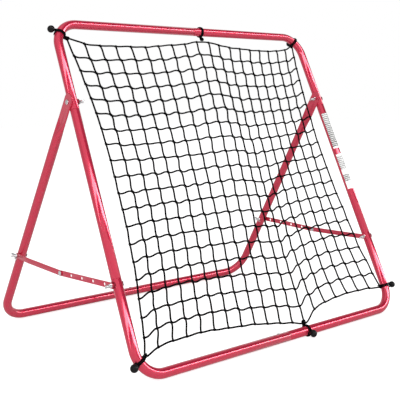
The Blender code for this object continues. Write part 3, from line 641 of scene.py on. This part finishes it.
def leg_stops(x, sign_x):
    """Down a leg: its clipped flat end, the pressed length, and the run out to a round tube."""
    stops = []
    for share in (0.99, 0.96, 0.90, 0.80, 0.65, 0.35):
        width = (1 - share ** 3.2) ** (1 / 3.2)
        stops.append(Stop(x, share * FLAT_TIP, sign_x, 0, TUBE_R, FLAT_HALF, width))
    stops.append(Stop(x, -FLAT_END, sign_x, 0, TUBE_R, FLAT_HALF, 1.0))
    steps = 14
    for k in range(1, steps + 1):
        share = k / steps
        eased = share * share * (3 - 2 * share)
        half = FLAT_HALF + (TUBE_R - FLAT_HALF) * eased
        z = -(FLAT_END + (ROUND_START - FLAT_END) * share)
        stops.append(Stop(x, z, sign_x, 0, TUBE_R, half, 1.0))
    return stops


def stand_tubes():
    for side, sign_x in SIDE_SIGNS:
        x = LEG_X[sign_x]
        node = f"stand_{side}_tube"
        seam = span("stand_left_tube", STAND_PLANE, 0)[1] + GAP
        stops = leg_stops(x, sign_x)
        stops += reversed(bend(x - sign_x * BEND_R, -LEG_L + BEND_R, sign_x, -1))
        stops += reversed(rim(seam + sign_x * GAP, -LEG_L, 0, -1, (sign_x, 0)))
        if sign_x > 0:
            stops.append(round_stop(seam, -LEG_L, 0, -1, SPIGOT_R))
            stops.append(round_stop(seam - SPIGOT_L, -LEG_L, 0, -1, SPIGOT_R))
        mesh = cut(tube(stops), [across(x, 0.0), across(x, -LEG_BRACE_Q)])
        piece(f"{side}_stand_tube", mesh, "stand", "red_paint", [node], STAND_PLANE, 30.0)


# ---- braces -----------------------

def bar_outline(length):
    verts = []
    steps = 14
    for end, start in ((0.0, 0.0), (-length, math.pi)):
        for k in range(steps + 1):
            angle = start + math.pi * k / steps
            verts.append((BAR_HALF_W * math.cos(angle), end + BAR_HALF_W * math.sin(angle)))
    return verts


def bar(length, holes, lean):
    """A flat bar down -Z from its end bolt, leaning along X between its straight ends."""
    outline = bar_outline(length)
    faces = [[(x, y, z) for y, z in outline] for x in (-BAR_T / 2, BAR_T / 2)]
    drills = [rod((-0.01, 0, -hole), (0.01, 0, -hole), BAR_HOLE_R) for hole in holes]
    mesh = bevelled(cut(plate("bar", *faces), drills), 0.00035)
    work = bmesh.new()
    work.from_mesh(mesh)
    lean_end = length - BAR_LEVEL
    for crease in (BAR_STRAIGHT, lean_end):
        geometry = work.verts[:] + work.edges[:] + work.faces[:]
        bmesh.ops.bisect_plane(work, geom=geometry, plane_co=(0, 0, -crease), plane_no=(0, 0, 1))
    for vert in work.verts:
        share = (-vert.co.z - BAR_STRAIGHT) / (lean_end - BAR_STRAIGHT)
        vert.co.x += lean * min(1.0, max(0.0, share))
    bmesh.ops.triangulate(work, faces=[face for face in work.faces if len(face.verts) > 4])
    work.to_mesh(mesh)
    work.free()
    return mesh


def brace_bars():
    for side in ("left", "right"):
        middle = joint_place(f"{side}_middle_nut_turn")
        places = {end: joint_place(f"{side}_{end}_brace_swing") for end in ("front", "rear")}
        lengths = {end: math.hypot(middle.y - bolt.y, middle.z - bolt.z) for end, bolt in places.items()}
        for end, bolt in places.items():
            node = f"{side}_{end}_brace_bar"
            length = lengths[end]
            holes = [0.0, length]
            if length == max(lengths.values()):
                pitch = (length - BAR_FIRST_HOLE) / (BAR_HOLES - 1)
                holes = [0.0] + [BAR_FIRST_HOLE + pitch * k for k in range(BAR_HOLES)]
            low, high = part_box(node)
            leans = (low.x + BAR_T / 2 - bolt.x, high.x - BAR_T / 2 - bolt.x)
            lean = max(leans, key=abs)
            turn = math.atan2(middle.y - bolt.y, -(middle.z - bolt.z))
            place = Matrix.Translation(bolt) @ Matrix.Rotation(turn, 4, "X")
            piece(f"{side}_{end}_brace", bar(length, holes, lean), f"{side}_{end}_brace",
                  "red_paint", [node], place)


# ---- fasteners --------------------

def threaded_shank(length, thread_from):
    """A shank down -Z, plain and then with a helical thread to its chamfered tip."""
    sides, per_pitch = 20, 5
    step = THREAD_PITCH / per_pitch
    heights = [0.0, -thread_from]
    heights += [-thread_from - step * k for k in range(1, int((length - thread_from) / step))]
    heights.append(-length)
    verts = []
    for z in heights:
        depth = min(1.0, max(0.0, -z - thread_from) / THREAD_PITCH) * THREAD_DEPTH
        tip = max(0.0, 1.0 - (z + length) / 0.0008) * 0.0005
        for k in range(sides):
            turn = k / sides
            wave = abs(((z / THREAD_PITCH + turn) % 1.0) * 2 - 1)
            radius = BOLT_R - depth * wave - tip
            angle = 2 * math.pi * turn
            verts.append((radius * math.cos(angle), radius * math.sin(angle), z))
    faces = [list(range(sides)), list(range(len(verts) - sides, len(verts)))]
    for row in range(len(heights) - 1):
        faces += band(row * sides, (row + 1) * sides, sides)
    return new_mesh("shank", verts, faces)


def bolt_head(radius):
    """A low dome on a short square-edged rim."""
    dome = []
    for k in range(11):
        angle = math.radians(90.0 - 90.0 * k / 10)
        dome.append((max(0.0, radius * math.cos(angle)), HEAD_H * (0.30 + 0.70 * math.sin(angle))))
    return turned(dome + [(radius, HEAD_H * 0.08), (radius * 0.97, 0.0), (0.0, 0.0)])


def join_meshes(parts):
    work = bmesh.new()
    for mesh in parts:
        work.from_mesh(mesh)
    made = bpy.data.meshes.new("joined")
    work.to_mesh(made)
    work.free()
    return made


def bolt_sense(node):
    """+1 if a bolt's head is at its greater x. The head is its widest part."""
    centre = box_centre(node)
    widest = max(frame["nodes"][node].data.vertices,
                 key=lambda v: math.hypot(v.co.y - centre.y, v.co.z - centre.z))
    return 1 if widest.co.x > centre.x else -1


def carrier(side, of_nut):
    """The bar that carries a middle joint's wing nut, or the other one, which carries its bolt."""
    nut_bar = JOINTS[f"{side}_middle_nut_turn"]["parent"]
    if of_nut:
        return nut_bar
    return f"{side}_rear_brace" if nut_bar == f"{side}_front_brace" else f"{side}_front_brace"


def bolts():
    bodies = {"pivot": "frame", "front_brace": "frame", "rear_brace": "stand"}
    for side in ("left", "right"):
        for where in ("pivot", "front_brace", "rear_brace", "brace_middle"):
            node = f"{side}_{where}_bolt"
            low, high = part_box(node)
            sense = bolt_sense(node)
            centre = box_centre(node)
            radius = (high.y - low.y) / 2
            seat = (high.x - HEAD_H) if sense > 0 else (low.x + HEAD_H)
            place = along((seat, centre.y, centre.z), (sense, 0, 0))
            length = high.x - low.x - HEAD_H
            body = bodies.get(where) or carrier(side, False)
            if where == "brace_middle":
                shank = rod((0, 0, 0), (0, 0, -length), BOLT_R)
            else:
                shank = threaded_shank(length, max(length * 0.3, length - THREADED_L))
            parts = join_meshes([bolt_head(radius), shank])
            piece(f"{side}_{where}_bolt_detail", parts, body, "zinc_fasteners", [node], place, 32.0)


def wing_outline(root, span_r, height):
    """One wing, as (radius, z): a rounded ear that rises from the hub."""
    points = [(root, 0.0010), (root + 0.0030, 0.0016)]
    for k in range(13):
        angle = math.radians(-58 + 200 * k / 12)
        points.append((span_r - EAR_R + EAR_R * math.cos(angle), height - EAR_R + EAR_R * math.sin(angle)))
    points.append((root, 0.0060))
    return points


def wing_nut(height, span_r):
    """A nut on the XY plane: a tapered hub with a clear bore, and two wings along X."""
    profile = [(HOLE_R, 0.0), (HUB_R - 0.0004, 0.0), (HUB_R, 0.0005), (HUB_R * 0.82, HUB_H - 0.0006),
               (HUB_R * 0.74, HUB_H), (HOLE_R, HUB_H)]
    sides = 28
    verts = [vert for radius, z in profile for vert in circle(radius, z, sides)]
    faces = []
    for row in range(len(profile)):
        faces += band(row * sides, (row + 1) % len(profile) * sides, sides)
    hub = new_mesh("hub", verts, faces)
    wings = []
    for sign in (1, -1):
        outline = [(sign * r, z) for r, z in wing_outline(HUB_R * 0.70, span_r, height)]
        wings.append(plate("wing", *[[(r, y, z) for r, z in outline] for y in (-WING_HALF_T, WING_HALF_T)]))
    return bevelled(cut(hub, wings, "UNION"), 0.0003)


def wing_nuts():
    """Nuts as tall and wide as their CAD nodes, with their wings turned the same way."""
    endings = {"pivot": "pivot", "front": "front_brace", "rear": "rear_brace", "middle": "brace_middle"}
    for side in ("left", "right"):
        for where, ending in endings.items():
            node = f"{side}_{ending}_wing_nut"
            joint = JOINTS[f"{side}_{where}_nut_turn"]
            seat, out = Vector(joint["pos_m"]), Vector(joint["axis"])
            verts = [v.co - seat for v in frame["nodes"][node].data.vertices]
            height = max(v.dot(out) for v in verts)
            reach = max((v - out * v.dot(out) for v in verts), key=lambda v: v.length)
            wing = reach.normalized()
            turn = Matrix((wing, out.cross(wing), out)).transposed().to_4x4()
            piece(f"{side}_{where}_wing_nut_detail", wing_nut(height, reach.length), f"{side}_{where}_nut",
                  "zinc_fasteners", [node], Matrix.Translation(seat) @ turn, 32.0)


def bolt_tips():
    """The threaded end that shows in each brace's middle nut. It rides with the nut's bar."""
    for side in ("left", "right"):
        seat = joint_place(f"{side}_middle_nut_turn")
        mesh = threaded_shank(TIP_L, 0.0001)
        place = along(seat - Vector((BAR_T + GAP, 0, 0)), (-1, 0, 0))
        piece(f"{side}_middle_bolt_tip", mesh, carrier(side, True), "zinc_fasteners", (), place, 32.0)


def washers_and_screws():
    """CAD nodes whose shape is right: a fine edge and a finish."""
    finishes = (("saddle_washer", "washer_plastic", 0.0004), ("joint_screw", "zinc_fasteners", 0.0002))
    for node, obj in frame["nodes"].items():
        for ending, slot, width in finishes:
            if node.endswith(ending):
                obj.data.materials.clear()
                obj.data.materials.append(LOOKS[slot])
                add_bevel(obj, width, 30.0)


def labels():
    """Thin films that follow the round tube over the same arc and length as their CAD nodes."""
    columns, rows = 24, 30
    layer = (columns + 1) * (rows + 1)

    def index(side, i, j):
        return side * layer + i * (rows + 1) + j

    for node, first in (("upper_label", 0.5), ("lower_label", 0.0)):
        local = local_points(node, FRAME_PLANE)
        low, high = span(node, FRAME_PLANE, 2)
        angles = [math.atan2(v.y, v.x - SIDE_X) % (2 * math.pi) for v in local]
        start, end = min(angles), max(angles)
        verts, faces, uvs = [], [], []
        for radius in (TUBE_R + 0.0001, TUBE_R + 0.0001 + FILM_T):
            for i in range(columns + 1):
                angle = start + (end - start) * i / columns
                for j in range(rows + 1):
                    verts.append((SIDE_X + radius * math.cos(angle), radius * math.sin(angle),
                                  low + (high - low) * j / rows))
        quads = [(side, i, j) for side in (0, 1) for i in range(columns) for j in range(rows)]
        for side, i, j in quads:
            corners = ((i, j), (i + 1, j), (i + 1, j + 1), (i, j + 1))
            faces.append([index(side, a, b) for a, b in corners])
            uvs.append([(a / columns, first + b / rows / 2) for a, b in corners])
        edges = [((i, j), (i + 1, j)) for i in range(columns) for j in (0, rows)]
        edges += [((i, j), (i, j + 1)) for j in range(rows) for i in (0, columns)]
        for a, b in edges:
            faces.append([index(0, *a), index(0, *b), index(1, *b), index(1, *a)])
            uvs.append([(0.0, 0.0)] * 4)
        mesh = new_mesh(node, verts, faces, uvs)
        piece(f"{node}_film", mesh, "frame", "label_film", [node], FRAME_PLANE)


# ---- cords ------------------------

class CordMesh:
    """Collects swept cords and knots into one mesh, with a map round and along each cord."""

    def __init__(self):
        self.verts, self.faces, self.uvs = [], [], []

    def sweep(self, path, radius, sides, closed=False, flat_normal=Vector((0, 1, 0))):
        """A round cord along a path that lies more or less square to flat_normal."""
        count = len(path)
        rings, run = [], 0.0
        lengths = []
        for k, point in enumerate(path):
            before = path[k - 1] if (k or closed) else path[k]
            after = path[(k + 1) % count] if (k < count - 1 or closed) else path[k]
            heading = (after - before).normalized()
            side = heading.cross(flat_normal)
            if side.length < 1e-6:
                side = heading.cross(Vector((0.31, 0.2, 0.93)))
            side.normalize()
            up = side.cross(heading)
            rings.append(len(self.verts))
            if k:
                run += (point - path[k - 1]).length
            lengths.append(run)
            self.verts += [point + side * x + up * y for x, y, _ in circle(radius, 0.0, sides)]
        last = count if closed else count - 1
        for k in range(last):
            one, other = rings[k], rings[(k + 1) % count]
            low = lengths[k]
            high = lengths[k + 1] if k + 1 < count else run + (path[0] - path[-1]).length
            self.faces += band(one, other, sides)
            for s in range(sides):
                self.uvs.append(((s / sides, low), ((s + 1) / sides, low),
                                 ((s + 1) / sides, high), (s / sides, high)))
        if not closed:
            for ring in (rings[0], rings[-1]):
                self.faces.append(list(range(ring, ring + sides)))
                self.uvs.append([(0.0, 0.0)] * sides)

    def mesh(self, name):
        return new_mesh(name, self.verts, self.faces, self.uvs)


# ---- net --------------------------

def net_corner(sign_x, sign_z):
    found = max(local_points("net", FRAME_PLANE), key=lambda v: sign_x * v.x + sign_z * v.z)
    return Vector((found.x, 0.0, found.z))


def hook_x(where):
    return sum(span(f"{where}_middle_bungee_cord", FRAME_PLANE, 0)) / 2


def hung(start, hook, end, share, hook_share, sag, right_steep=EDGE_STEEP):
    """A point of the top or bottom edge. local runs from a corner of the net to the middle hook.

    The edge is steepest at the corners. With right_steep at 1 the right half is steepest at the hook.
    """
    if share <= hook_share:
        local, steep = share / hook_share, EDGE_STEEP
        place = start.lerp(hook, local)
    else:
        local, steep = (1 - share) / (1 - hook_share), right_steep
        place = end.lerp(hook, local)
    place.z += sag * local ** steep * (1 - local) ** (1 + EDGE_STEEP - steep)
    return place


def softened(edge, u, away):
    """A point of an edge's shape, whose peak at the hook widens with the distance from the edge."""
    width = min(u, 1 - u, PEAK_SPREAD * away)
    return (edge(u - width) + edge(u) * 2 + edge(u + width)) * 0.25


def net_shape():
    """Knots of the net in the frame's plane, with the fold between its two middle hooks."""
    corners = {(a, b): net_corner(a, b) for a in (-1, 1) for b in (-1, 1)}
    low, high = span("net", FRAME_PLANE, 2)
    top_hook = Vector((hook_x("top"), 0.0, high))
    bottom_hook = Vector((hook_x("bottom") + BESIDE_HOOK, 0.0, low))

    def top_edge(u):
        return hung(corners[-1, 1], top_hook, corners[1, 1], u, TOP_HOOK_SHARE, -TOP_SAG)

    def bottom_edge(u):
        return hung(corners[-1, -1], bottom_hook, corners[1, -1], u, BOTTOM_HOOK_SHARE, BOTTOM_SAG, 1.0)

    def point(u, t):
        top = softened(top_edge, u, t)
        bottom = softened(bottom_edge, u, 1 - t)
        left = corners[-1, 1].lerp(corners[-1, -1], t)
        left.x += SIDE_SAG * (t * (1 - t)) ** 0.85
        right = corners[1, 1].lerp(corners[1, -1], t)
        right.x -= SIDE_SAG * t ** 0.85 * (1 - t) ** 0.75
        flat = corners[-1, 1].lerp(corners[1, 1], u).lerp(corners[-1, -1].lerp(corners[1, -1], u), t)
        place = top.lerp(bottom, t) + left.lerp(right, u) - flat
        row = t * CELLS
        pull = CORNER_PULL * row ** 0.5 * math.exp(-(row / 2.6) ** 2)
        place.z -= pull * math.exp(-(u * CELLS / 1.2) ** 2)
        place.y = fold(u, t)
        return place
    return point


def fold(u, t):
    """Depth of the net behind the frame's plane: a crest along the line between the hooks, and a
    long trough right of it. It fades out at the net's edges, where the cords are tight."""
    line = TOP_HOOK_SHARE + (BOTTOM_HOOK_SHARE - TOP_HOOK_SHARE) * t
    away = (u - line) / FOLD_WIDTH
    held = math.sin(math.pi * t) ** 0.5 if 0 < t < 1 else 0.0
    edge = math.sin(math.pi * u) if 0 < u < 1 else 0.0
    past = away - 1.1
    wave = -math.exp(-(away + 0.4) ** 2) + 0.7 * math.exp(-(past / (0.9 if past < 0 else 2.4)) ** 2)
    return FOLD_HEIGHT * wave * held * edge ** 0.3


def hermite(start, end, start_way, end_way, share):
    """A point of a cubic curve with a set heading at each end."""
    a, b = share * share * (3 - 2 * share), share * (1 - share) ** 2
    c = share * share * (share - 1)
    return start * (1 - a) + end * a + start_way * b + end_way * c


def cord_path(knots, twists):
    """A cord through its knots. At each it runs along its neighbours, turned in the net's plane."""
    last = len(knots) - 1
    ways = []
    for k, twist in enumerate(twists):
        way = (knots[min(k + 1, last)] - knots[max(k - 1, 0)]) * 0.5
        turned_way = way + Vector((-way.z, 0.0, way.x)) * twist
        ways.append(turned_way * (2.0 if k in (0, last) else 1.0))
    path = []
    for k in range(last):
        for step in range(SEGMENT_STEPS):
            path.append(hermite(knots[k], knots[k + 1], ways[k], ways[k + 1], step / SEGMENT_STEPS))
    return path + [knots[-1]]


def wrap_ring(cords, centre, one, other, radius, thick):
    """A small closed turn of cord round a crossing, lying across both cords."""
    normal = one.cross(other).normalized()
    across_way = (one - other).normalized()
    path = [centre + across_way * x + normal * y for x, y, _ in circle(radius, 0.0, 10)]
    cords.sweep(path, thick, 6, closed=True, flat_normal=(one + other).normalized())


def net():
    """Every cord through knots shaken a little off their places, with two turns of cord at each."""
    shape = net_shape()
    chance = np.random.RandomState(7)
    count = CELLS + 1
    knots = []
    for i in range(count):
        column = []
        for j in range(count):
            place = shape(i / CELLS, j / CELLS)
            shake = Vector(chance.uniform(-1, 1, 3)) * KNOT_JITTER
            if i in (0, CELLS) and j in (0, CELLS):
                shake = Vector((0, 0, 0))
            column.append(place + shake)
        knots.append(column)
    row_twist = ROW_TWIST * (1 + 0.55 * chance.uniform(-1, 1, (count, count)))
    column_twist = COLUMN_TWIST * (1 + 0.6 * chance.uniform(-1, 1, (count, count)))
    row_twist[:, (0, CELLS)] *= 0.3
    column_twist[(0, CELLS), :] *= 0.3
    cords = CordMesh()
    for j in range(count):
        cords.sweep(cord_path([knots[i][j] for i in range(count)], row_twist[:, j]), CORD_R, CORD_SIDES)
    for i in range(count):
        cords.sweep(cord_path(knots[i], column_twist[i]), CORD_R, CORD_SIDES)
    for i in range(count):
        for j in range(count):
            along_row = (knots[min(i + 1, CELLS)][j] - knots[max(i - 1, 0)][j]).normalized()
            down = (knots[i][min(j + 1, CELLS)] - knots[i][max(j - 1, 0)]).normalized()
            wrap_ring(cords, knots[i][j], along_row, down, KNOT_R, KNOT_CORD_R)
            wrap_ring(cords, knots[i][j], along_row, -down, KNOT_R, KNOT_CORD_R)
    piece("knotted_net", cords.mesh("knotted_net"), "frame", "net_cord", ["net"], FRAME_PLANE, 80.0)


# ---- bungees ----------------------

def nearest_on_tube(point):
    """The nearest point of the frame tube's axis, and the outward way there."""
    half_x, low, high = SIDE_X - BEND_R, BEND_R, FRAME_L - BEND_R
    core = Vector((min(half_x, max(-half_x, point.x)), 0.0, min(high, max(low, point.z))))
    if abs(core.x) < half_x and low < point.z < high:
        raise ValueError("the point is inside the straight runs")
    out = Vector((point.x - core.x, 0.0, point.z - core.z))
    out.normalize()
    return core + out * BEND_R, out


def bungee_path(ball_out, ball_back, hook_depth, radius):
    """Closed path of a doubled loop, as (out, back, run) round a tube at the origin.

    Both strands leave the ball over the front of the tube, turn in behind through the net's
    corner, and close as an eye round the ball's neck.
    """
    reach = math.hypot(ball_out, ball_back)
    turn = math.atan2(ball_back, ball_out)
    neck = math.acos(min(1.0, radius / reach)) * 0.8
    inner = math.pi * 0.90

    def arc(start, end, steps=20):
        turns = [start + (end - start) * k / steps for k in range(steps + 1)]
        return [Vector((math.cos(a) * radius, math.sin(a) * radius)) for a in turns]

    front = arc(turn - neck, inner - 2 * math.pi)
    hook = [Vector((-hook_depth - HOOK_R * math.cos(a), HOOK_R * math.sin(a)))
            for a in (-1.2, -0.6, 0.0, 0.6, 1.2)]
    back = arc(inner, turn + neck)
    to_ball = Vector((math.cos(turn), math.sin(turn)))
    strand = [to_ball * (reach - 0.003)] + front + hook + back
    eye_base = to_ball * (reach - 0.0125)
    eye = eye_base + (eye_base - back[-1]) * 0.1
    one = [Vector((p.x, p.y, STRAND_GAP)) for p in strand]
    wide = STRAND_GAP + 2 * BUNGEE_R
    one += [Vector((eye.x, eye.y, wide)), Vector((eye.x - 0.001, eye.y - 0.004, wide * 0.6))]
    other = [Vector((p.x, p.y, -p.z)) for p in reversed(one)]
    return one + other


def smoothed(path, rounds=2):
    """Corner-cuts a closed path, so that its turns are round."""
    for _ in range(rounds):
        cut_path = []
        for k, point in enumerate(path):
            after = path[(k + 1) % len(path)]
            cut_path += [point.lerp(after, 0.25), point.lerp(after, 0.75)]
        path = cut_path
    return path


def ball_mesh(radius):
    """A ball with a mould line, and a mouth for its cord."""
    last = math.degrees(math.acos(BALL_MOUTH_R / radius))
    profile = []
    for k in range(29):
        angle = -90.0 + (last + 90.0) * k / 28
        swell = 0.00012 * math.exp(-(angle / 2.6) ** 2)
        turn = math.radians(angle)
        profile.append((max(0.0, (radius + swell) * math.cos(turn)) if k else 0.0,
                        (radius + swell) * math.sin(turn)))
    lip = profile[-1][1]
    profile += [(BALL_MOUTH_R * 0.90, lip + 0.0002), (BALL_MOUTH_R * 0.82, lip - 0.0006)]
    profile += [(BALL_MOUTH_R * 0.80, -0.0005), (0.0, -0.0005)]
    return turned(profile, 36)


def bungees():
    back = Vector((0.0, 1.0, 0.0))
    for name in ("top_left", "top_middle", "top_right", "bottom_left", "bottom_middle", "bottom_right"):
        node = f"{name}_bungee"
        ball_local = FRAME_PLANE.inverted() @ box_centre(f"{node}_ball")
        anchor, out = nearest_on_tube(ball_local)
        run = out.cross(back)
        ball_out, ball_back = (ball_local - anchor).dot(out), ball_local.y
        depth = MIDDLE_HOOK_DEPTH if "middle" in name else CORNER_HOOK_DEPTH
        path = smoothed(bungee_path(ball_out, ball_back, depth, TUBE_R + BUNGEE_R + GAP))
        world = [anchor + out * p.x + back * p.y + run * p.z for p in path]
        cords = CordMesh()
        cords.sweep(world, BUNGEE_R, BUNGEE_SIDES, closed=True, flat_normal=run)
        loop = piece(f"{name}_bungee_loop", cords.mesh(name), "frame", "bungee_cord",
                     [f"{node}_cord"], FRAME_PLANE, 80.0)
        for vert in loop.data.vertices:     # none goes below the object's lowest point
            vert.co.z = max(vert.co.z, CAD_BOX[0].z)
        low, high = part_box(f"{node}_ball")
        mouth_way = -(out * ball_out + back * ball_back).normalized()
        place = FRAME_PLANE @ along(ball_local, mouth_way)
        ball = ball_mesh((high.x - low.x) / 2)
        piece(f"{name}_ball_detail", ball, "frame", "bungee_ball", [f"{node}_ball"], place)


# ---- studio -----------------------

def floor():
    lowest = CAD_BOX[0].z - 0.0004
    corners = ((-1, -1), (1, -1), (1, 1), (-1, 1))
    verts = [(FLOOR_HALF * x, FLOOR_HALF * y, lowest) for x, y in corners]
    mesh = new_mesh("floor", verts, [(0, 1, 2, 3)])
    nodes = Nodes("floor")
    nodes.set(Base_Color=(0.80, 0.80, 0.80, 1.0), Roughness=1.0)
    nodes.set(Specular_IOR_Level=0.0, Emission_Color=WHITE)
    camera_ray = nodes.add("ShaderNodeLightPath").outputs["Is Camera Ray"]
    nodes.link(nodes.maths("MULTIPLY", camera_ray, FLOOR_GLOW), nodes.shader.inputs["Emission Strength"])
    mesh.materials.append(nodes.owner)
    add_object("floor", mesh)


def key_light():
    """A soft lamp that shades without a mirror image. Reflections come from the surround."""
    data = bpy.data.lights.new("key", "AREA")
    data.shape = "RECTANGLE"
    data.size, data.size_y = 1.0, 1.6
    data.energy = KEY_LIGHT
    light = add_object("key", data)
    light.location = (-2.2, -2.6, 2.2)
    toward = Vector((0, 0.2, 0.4)) - light.location
    light.rotation_euler = toward.to_track_quat("-Z", "Y").to_euler()
    light.visible_glossy = False


def surround():
    """What the paint mirrors: bands by pitch, from the front horizon (0) over the top to the rear
    (180). A long narrow strip light hangs in front. The ceiling is dark on the right only."""
    nodes = Nodes("studio", world=True)
    bpy.context.scene.world = nodes.owner
    parts = nodes.parts("ShaderNodeTexCoord", "Generated")
    pitch = nodes.maths("ARCTAN2", parts["Z"], nodes.maths("MULTIPLY", parts["Y"], -1.0))
    share = nodes.maths("DIVIDE", pitch, math.pi)
    both = nodes.add("ShaderNodeMix", data_type="RGBA")
    nodes.link(nodes.spread(parts["X"], 0.0, 1.0, 0.05, 0.35), both.inputs["Factor"])
    for bands, target in ((LEFT_BANDS, both.inputs[6]), (RIGHT_BANDS, both.inputs[7])):
        nodes.link(nodes.ramp(share, greys(bands, 180.0, STRIP_LIGHT)), target)
    nodes.set(Strength=STRIP_LIGHT)
    nodes.link(both.outputs[2], nodes.shader.inputs["Color"])
    rays = nodes.add("ShaderNodeLightPath").outputs
    soft = nodes.add("ShaderNodeBackground", Strength=SOFT_LIGHT, Color=WHITE)
    seen = nodes.add("ShaderNodeBackground", Color=WHITE)
    lit = nodes.mixed(rays["Is Glossy Ray"], soft.outputs[0], nodes.shader.outputs[0])
    shown = nodes.mixed(rays["Is Camera Ray"], lit, seen.outputs[0])
    nodes.link(shown, nodes.tree.nodes["World Output"].inputs["Surface"])


def photo_camera():
    """The main viewpoint. Its lens shift holds only there, so that other views stay centred."""
    data = bpy.data.cameras.new("camera")
    data.lens = CAMERA_LENS
    data.clip_end = 100.0
    camera = add_object("camera", data)
    camera.location = CAMERA_PLACE
    camera.rotation_euler = [math.radians(angle) for angle in CAMERA_DEGREES]
    bpy.context.scene.camera = camera
    for channel, amount in CAMERA_SHIFT:
        driver = data.driver_add(channel).driver
        driver.type = "SCRIPTED"
        reading = driver.variables.new()
        reading.name = "x"
        reading.type = "TRANSFORMS"
        reading.targets[0].id = camera
        reading.targets[0].transform_type = "LOC_X"
        reading.targets[0].transform_space = "WORLD_SPACE"
        driver.expression = f"{amount} if abs(x - ({CAMERA_PLACE[0]})) < 0.0001 else 0.0"
    bpy.context.scene.view_settings.view_transform = "Standard"


corner_tubes()
middle_tubes()
stand_tubes()
brace_bars()
bolts()
wing_nuts()
bolt_tips()
washers_and_screws()
labels()
net()
bungees()
floor()
key_light()
surround()
photo_camera()
